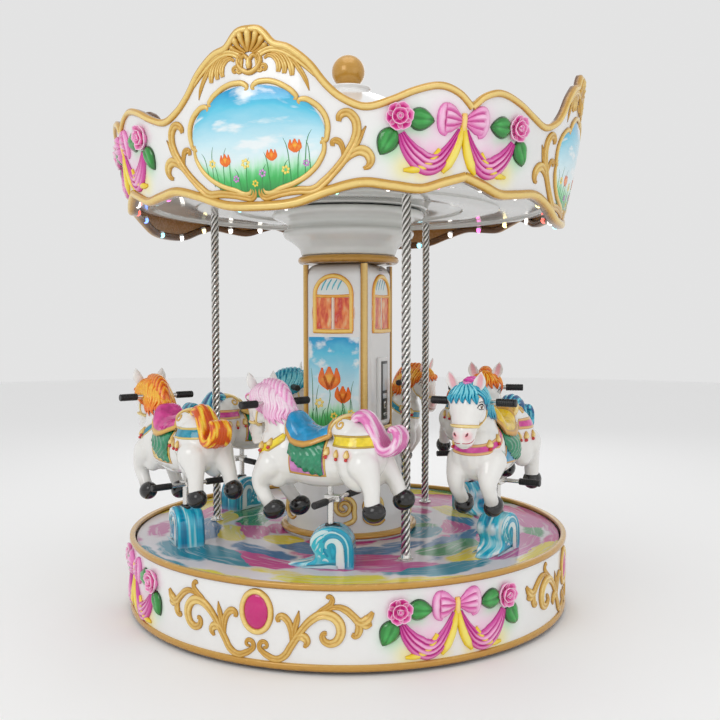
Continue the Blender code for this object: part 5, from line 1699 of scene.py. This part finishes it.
def make_horse():
    """All parts of one horse: name to (piece, paint)."""
    skin = fuse(balls(TRUNK + HAUNCHES, "trunk"), 0.006, 6)
    hide = fuse(balls(TRUNK + HAUNCHES + LIMBS + NECK + HEAD + [((-0.108, 0.0, 0.232), (0.062, 0.076, 0.056), 0)],
        "hide"), 0.0048, 7)
    bell_spots = [(-60, 156), (-108, 152), (-156, 154)]
    chest_spots = [(60, 158), (98, 174)]

    def blush(co):
        best = 0.75 * ramp(0.03, 0.0, (co - Vector((0.365, copysign(0.024, co.y), 0.196))).length)
        if abs(co.y) > 0.05:
            for x, z in bell_spots:
                best = max(best, 0.55 * ramp(0.03, 0.004, hypot(co.x - x * MM, co.z - z * MM + 0.006)))
        return best
    mark(hide, "blush", blush)

    def shade(co):
        """Grey just above the hooves; the hind ones stand higher."""
        raised = 0.0 if co.x >= -0.2 else 0.03 if co.y > 0 else 0.055
        return 0.55 * ramp(-0.028, -0.075, co.z + raised)
    mark(hide, "shade", shade)
    hooves = smooth(balls(HOOVES, "hooves"))
    cloth = on_skin(patch([(-55, 61), (0, 60), (105, 63)], [(-46, 215), (20, 205), (100, 225)], 40, 40, 0.5, 2.0,
        9.0), skin, from_left)
    blanket = patch([(-46, 69), (-30, 64), (-16, 70), (0, 68), (14, 76), (30, 76), (44, 88), (60, 92), (72, 106),
        (86, 112), (96, 130), (108, 138)], [(-44, 206), (-20, 204), (0, 203), (20, 204), (36, 205), (50, 206),
        (62, 208), (76, 210), (86, 212), (94, 214), (100, 216), (106, 218)], 48, 36, 6.0, 0.0, 8.0)
    reshape(blanket, lambda co: Vector((co.x, co.y,
        co.z + 0.003 + 0.0024 * sin(co.x * 210.0 + 5.0 * sin(co.y * 60.0)) * ramp(0.22, 0.08, co.y))))
    blanket = on_skin(blanket, skin, from_left)
    breast = patch(both_sides([(-165, 182), (-135, 161), (-95, 136), (-45, 118), (0, 113)]),
        both_sides([(-165, 229), (-135, 207), (-95, 180), (-45, 161), (0, 156)]), 96, 12, 1.0, 1.6, 9.0)
    breast = on_skin(breast, skin, from_round(0.13, 0.25))
    croup = patch(both_sides([(-222, 176), (-110, 176), (0, 180)]), both_sides([(-222, 219), (-110, 220), (0, 224)]),
        110, 12, 1.0, 1.6, 9.0)
    croup = on_skin(croup, hide, from_round(-0.13, 0.25, turn=180.0))
    girth = on_skin(strokes([[(-53, 62, 3), (-54, 120, 3.5), (-50, 180, 4), (-48, 222, 4)]], BEAD), skin, from_left)
    saddle = make_saddle(skin)
    cantle = strokes([[(-56, 222, 5), (-72, 248, 6.5), (-96, 273, 7), (-120, 285, 7), (-140, 283, 6), (-158, 266, 4)],
        coil(-112, 256, 19, 1.3, 80, 2.5, 5)], BEAD)
    cantle = pair(on_skin(cantle, hide, from_left))
    cap = patch([(-138, -40), (-104, -50), (-66, -54)], [(-138, 40), (-104, 50), (-66, 54)], 16, 16, 2.0, 1.5, 8.0)
    cap = on_skin(cap, hide, lambda x, y: (Vector((x, y, 0.5)), Vector((0.0, 0.0, -1.0))))
    bells, clappers = bell_row(bell_spots, from_left, hide, "clappers")
    front_bells, front_clappers = bell_row(chest_spots, from_round(0.13, 0.25), skin, "front")
    locks = []
    for shift, drop_low, thin in ((0.0, 0.0, 1.0), (-12.0, -6.0, 0.7)):
        paths = [[(x + shift, z + drop_low, width * thin) for x, z, width in lock] for lock in MANE_LOCKS]
        flat = moved(strokes(paths, LOCK, fine=8), z=0.007 if thin < 1.0 else 0.003)
        locks.append(pair(on_skin(flat, hide, from_left)))
    crest = fuse(balls(limb(CREST_ROW, 26, 1.15), "crest"), 0.004, 3)

    def comb(co):
        return sin(co.x * 300.0 + abs(co.y) * 190.0)
    reshape(crest, lambda co: co + (co - Vector((co.x * 0.8, 0.0, 0.29))).normalized() * 0.003 * comb(co))
    # Relief mark: painted highlight on the comb's ridges, painted shade in its grooves.
    mark(crest, "relief", lambda co: 0.52 + 0.38 * comb(co))
    mane = join(locks, "mane")
    forelock = on_skin(moved(strokes(FORELOCKS, LOCK, fine=8), z=0.004), hide, from_round(0.288, 0.16, 0.066, 0.35))
    tail = swept(tail_strands(), dimensions="3D", resolution_u=5, bevel_depth=1.0, bevel_resolution=3,
        use_fill_caps=True)
    # Relief mark: painted highlight along each strand's middle, painted shade between the strands.
    mark(tail, "relief", lambda co: ramp(-0.3, 1.0, cos((co.y) * 2.0 * pi / 0.0125)))
    eye_ball, eye_line, iris, glint = [], [], [], []
    for side in (1.0, -1.0):
        ray = from_temple(side)
        for parts, shapes, lift in ((eye_ball, [[(-13, -2, 2), (-6, 1, 5.5), (2, 2, 6.5), (9, 1, 4.5), (14, 0, 1.5)]],
                0.0006), (iris, [[(-3, 1, 3.5), (1, 1.5, 5.5), (5, 1.5, 3.5)]], 0.0016),
                (glint, [[(2, 5, 1.0), (4, 6, 1.8), (6, 5, 1.0)]], 0.0034),
                (eye_line, [[(-16, -5, 1), (-9, 5, 1.7), (1, 9, 2.2), (10, 6, 1.8), (17, -1, 1)], [(-15, -5, 0.8),
                (-6, -5, 1.2), (4, -5, 1.2), (13, -2, 0.8)], [(-8, 13, 0.8), (2, 17, 1.3), (12, 14, 0.8)]], 0.0012)):
            flat = flat_paint(shapes)
            reshape(flat, lambda co: Vector((co.x * -side * 1.2, co.y * 1.3, co.z + lift)))
            parts.append(on_skin(flat, hide, ray))
    noseband = strokes([[(x, 229 + 5 * cos(x / 62.0), 6) for x in range(-150, 151, 25)]], BEAD, fine=4)
    noseband = on_skin(noseband, hide, from_round(0.302, 0.16, 0.062))
    cheek = strokes([[(284, 232, 4), (272, 262, 4), (268, 300, 4), (282, 336, 4), (304, 352, 4)],
        [(268, 300, 3), (250, 296, 3), (232, 290, 3)]], BEAD)
    cheek = pair(on_skin(cheek, hide, from_left))
    brow = on_skin(strokes([[(s * 60, 338, 3.5), (s * 48, 346, 4), (s * 28, 352, 3.5)] for s in (-1, 1)], BEAD), hide,
        from_round(0.288, 0.16, 0.066))
    bridle = join([noseband, cheek, brow], "bridle")
    buckles = strokes([[(298, 222, 7), (290, 234, 8), (286, 242, 6)]], BEAD)
    bridle = join([bridle, pair(on_skin(buckles, hide, from_left))], "bridle")
    mouth = on_skin(
        flat_paint([[(s * 50, 188, 1), (s * 40, 178, 1.6), (s * 24, 172, 1.8), (s * 4, 172, 1.4)] for s in (-1, 1)]),
        hide, from_round(0.322, 0.12, 0.042))
    nostrils = on_skin(flat_paint([[(s * 17, 197, 1.5), (s * 23, 204, 4.5), (s * 26, 211, 2.0)] for s in (-1, 1)]),
        hide, from_front)
    holes = on_skin(moved(
        flat_paint([[(s * 20, 201, 1.0), (s * 23.5, 205, 2.6), (s * 25, 209, 1.0)] for s in (-1, 1)]), z=0.0012),
        hide, from_front)
    drop(skin)
    return {"hide": (join([hide, pair(ear())], "hide"), HORSE_WHITE),
        "hooves": (hooves, HOOF_BLACK), "cloth": (pair(cloth), "cloth"), "blanket": (pair(blanket), BLANKET_GREEN),
        "bands": (join([breast, croup], "bands"), "band"), "girth": (pair(girth), GOLD), "saddle": (saddle, "saddle"),
        "cantle_scroll": (cantle, BRIDLE_GOLD), "cantle_cap": (cap, TRIMS["saddle_orange"]),
        "bells": (join([pair(bells), pair(front_bells)], "bells"), BRIDLE_GOLD),
        "clappers": (join([pair(clappers), pair(front_clappers)], "clappers"), BELL_RED), "mane": (mane, "mane"),
        "crest_lock": (crest, "crest"), "forelock": (forelock, "forelock"), "tail": (tail, "tail"),
        "eye_whites": (join(eye_ball, "eyes"), EYE_WHITE), "irises": (join(iris, "irises"), EYE_BROWN),
        "eye_lines": (join(eye_line, "lids"), LINE_BLACK), "glints": (join(glint, "glints"), EYE_WHITE),
        "bridle": (bridle, BRIDLE_GOLD), "mouth": (mouth, LIP_RED), "nostrils": (nostrils, LIP_RED),
        "nostril_holes": (holes, LINE_BLACK)}


HEAD_PARTS = ("hide", "mane", "crest_lock", "forelock", "eye_whites", "irises", "eye_lines", "glints", "bridle",
    "mouth", "nostrils", "nostril_holes")


def rod(start, end, radius, steps=24):
    """A plain round bar between two points."""
    line = Vector(end) - Vector(start)
    bpy.ops.mesh.primitive_cylinder_add(vertices=steps, radius=radius, depth=line.length)
    obj = bpy.context.object
    obj.rotation_mode = "QUATERNION"
    obj.rotation_quaternion = line.to_track_quat("Z", "Y")
    obj.location = (Vector(start) + Vector(end)) / 2.0
    return smooth(settle(obj), 40.0)


def grip(radius, inner, outer):
    """A ribbed rubber grip along +Y between two distances, with a rounded end."""
    profile = [(0.0, inner), (radius * 0.95, inner)]
    ribs = 9
    for k in range(ribs):
        y = inner + 0.004 + (outer - inner - 0.012) * k / ribs
        step = (outer - inner - 0.012) / ribs
        profile += [(radius, y), (radius, y + step * 0.62), (radius * 0.88, y + step * 0.72),
            (radius * 0.88, y + step * 0.9)]
    profile += [(radius, outer - 0.007), (radius, outer - 0.003), (radius * 0.85, outer), (0.0, outer)]
    obj = lathe(profile, 24, 50.0)
    return reshape(obj, lambda co: Vector((co.x, co.z, -co.y)))


def make_metalwork():
    """Post with its clamp and foot bar, and the handlebar, for one horse."""
    low = 0.37 - BELLY
    post = join([rod((0.0, 0.0, low), (0.0, 0.0, 0.09), 0.012, 32),
        rod((-0.03, -0.158, -0.028), (-0.03, 0.158, -0.028), 0.008)], "post")
    clamp = moved(block(66, 40, 24, (0, 0), 0.003), -0.015, 0.0, -0.04)
    pegs = [moved(grip(0.0135, 0.08, 0.165), -0.03, 0.0, -0.028)]
    pegs.append(flipped(pegs[0], "peg"))
    bar = rod((0.265, -0.158, 0.312), (0.265, 0.158, 0.312), 0.01)
    grips = [moved(grip(0.015, 0.09, 0.165), 0.265, 0.0, 0.312)]
    grips.append(flipped(grips[0], "grip"))
    return {"lift_post": (join([post, clamp], "post"), STEEL), "foot_grips": (join(pegs, "pegs"), GRIP_RUBBER),
        "bar_rod": (bar, STEEL), "bar_grips": (join(grips, "grips"), GRIP_RUBBER)}


def set_horses():
    parts = make_horse()
    for flat, _ in parts.values():
        moved(flat, BODY_FORWARD)
    parts.update(make_metalwork())
    stands = {"hide": ("horse_{}", "horse_paint"), "lift_post": ("post_{}", "stainless_steel"),
        "bar_grips": ("handlebar_{}", "grip_rubber")}
    for k in range(SEATS):
        matrix = at_seat(k, BELLY + HORSE_LIFTS[k], HORSE_TURNS[k])
        body = f"horse_rider_{k + 1}"
        paints = SCHEMES[k]
        for name, (flat, paint) in parts.items():
            piece = copy_of(flat, name)
            is_bar = name.startswith("bar_")
            if name in HEAD_PARTS or is_bar:
                turn = radians(HEAD_TURNS[k])

                def swing(co):
                    share = 1.0 if is_bar else max(ramp(0.15, 0.3, co.z) * ramp(0.15, 0.23, co.x),
                        ramp(0.13, 0.17, co.z) * ramp(0.295, 0.335, co.x))
                    if share <= 0.0:
                        return co
                    c, s = cos(turn * share), sin(turn * share)
                    x = co.x - NECK_PIVOT
                    return Vector((NECK_PIVOT + x * c - co.y * s, x * s + co.y * c, co.z))
                reshape(piece, swing)
            piece.data.transform(matrix)
            node_name, slot_name = stands.get(name, (None, None))
            place(piece, f"{name}_{k + 1}", body, paints.get(paint, paint),
                (node_name.format(k + 1),) if node_name else ())
    drop(*(flat for flat, _ in parts.values()))


set_horses()


drop(*SECTIONS, TOP_MOULD)
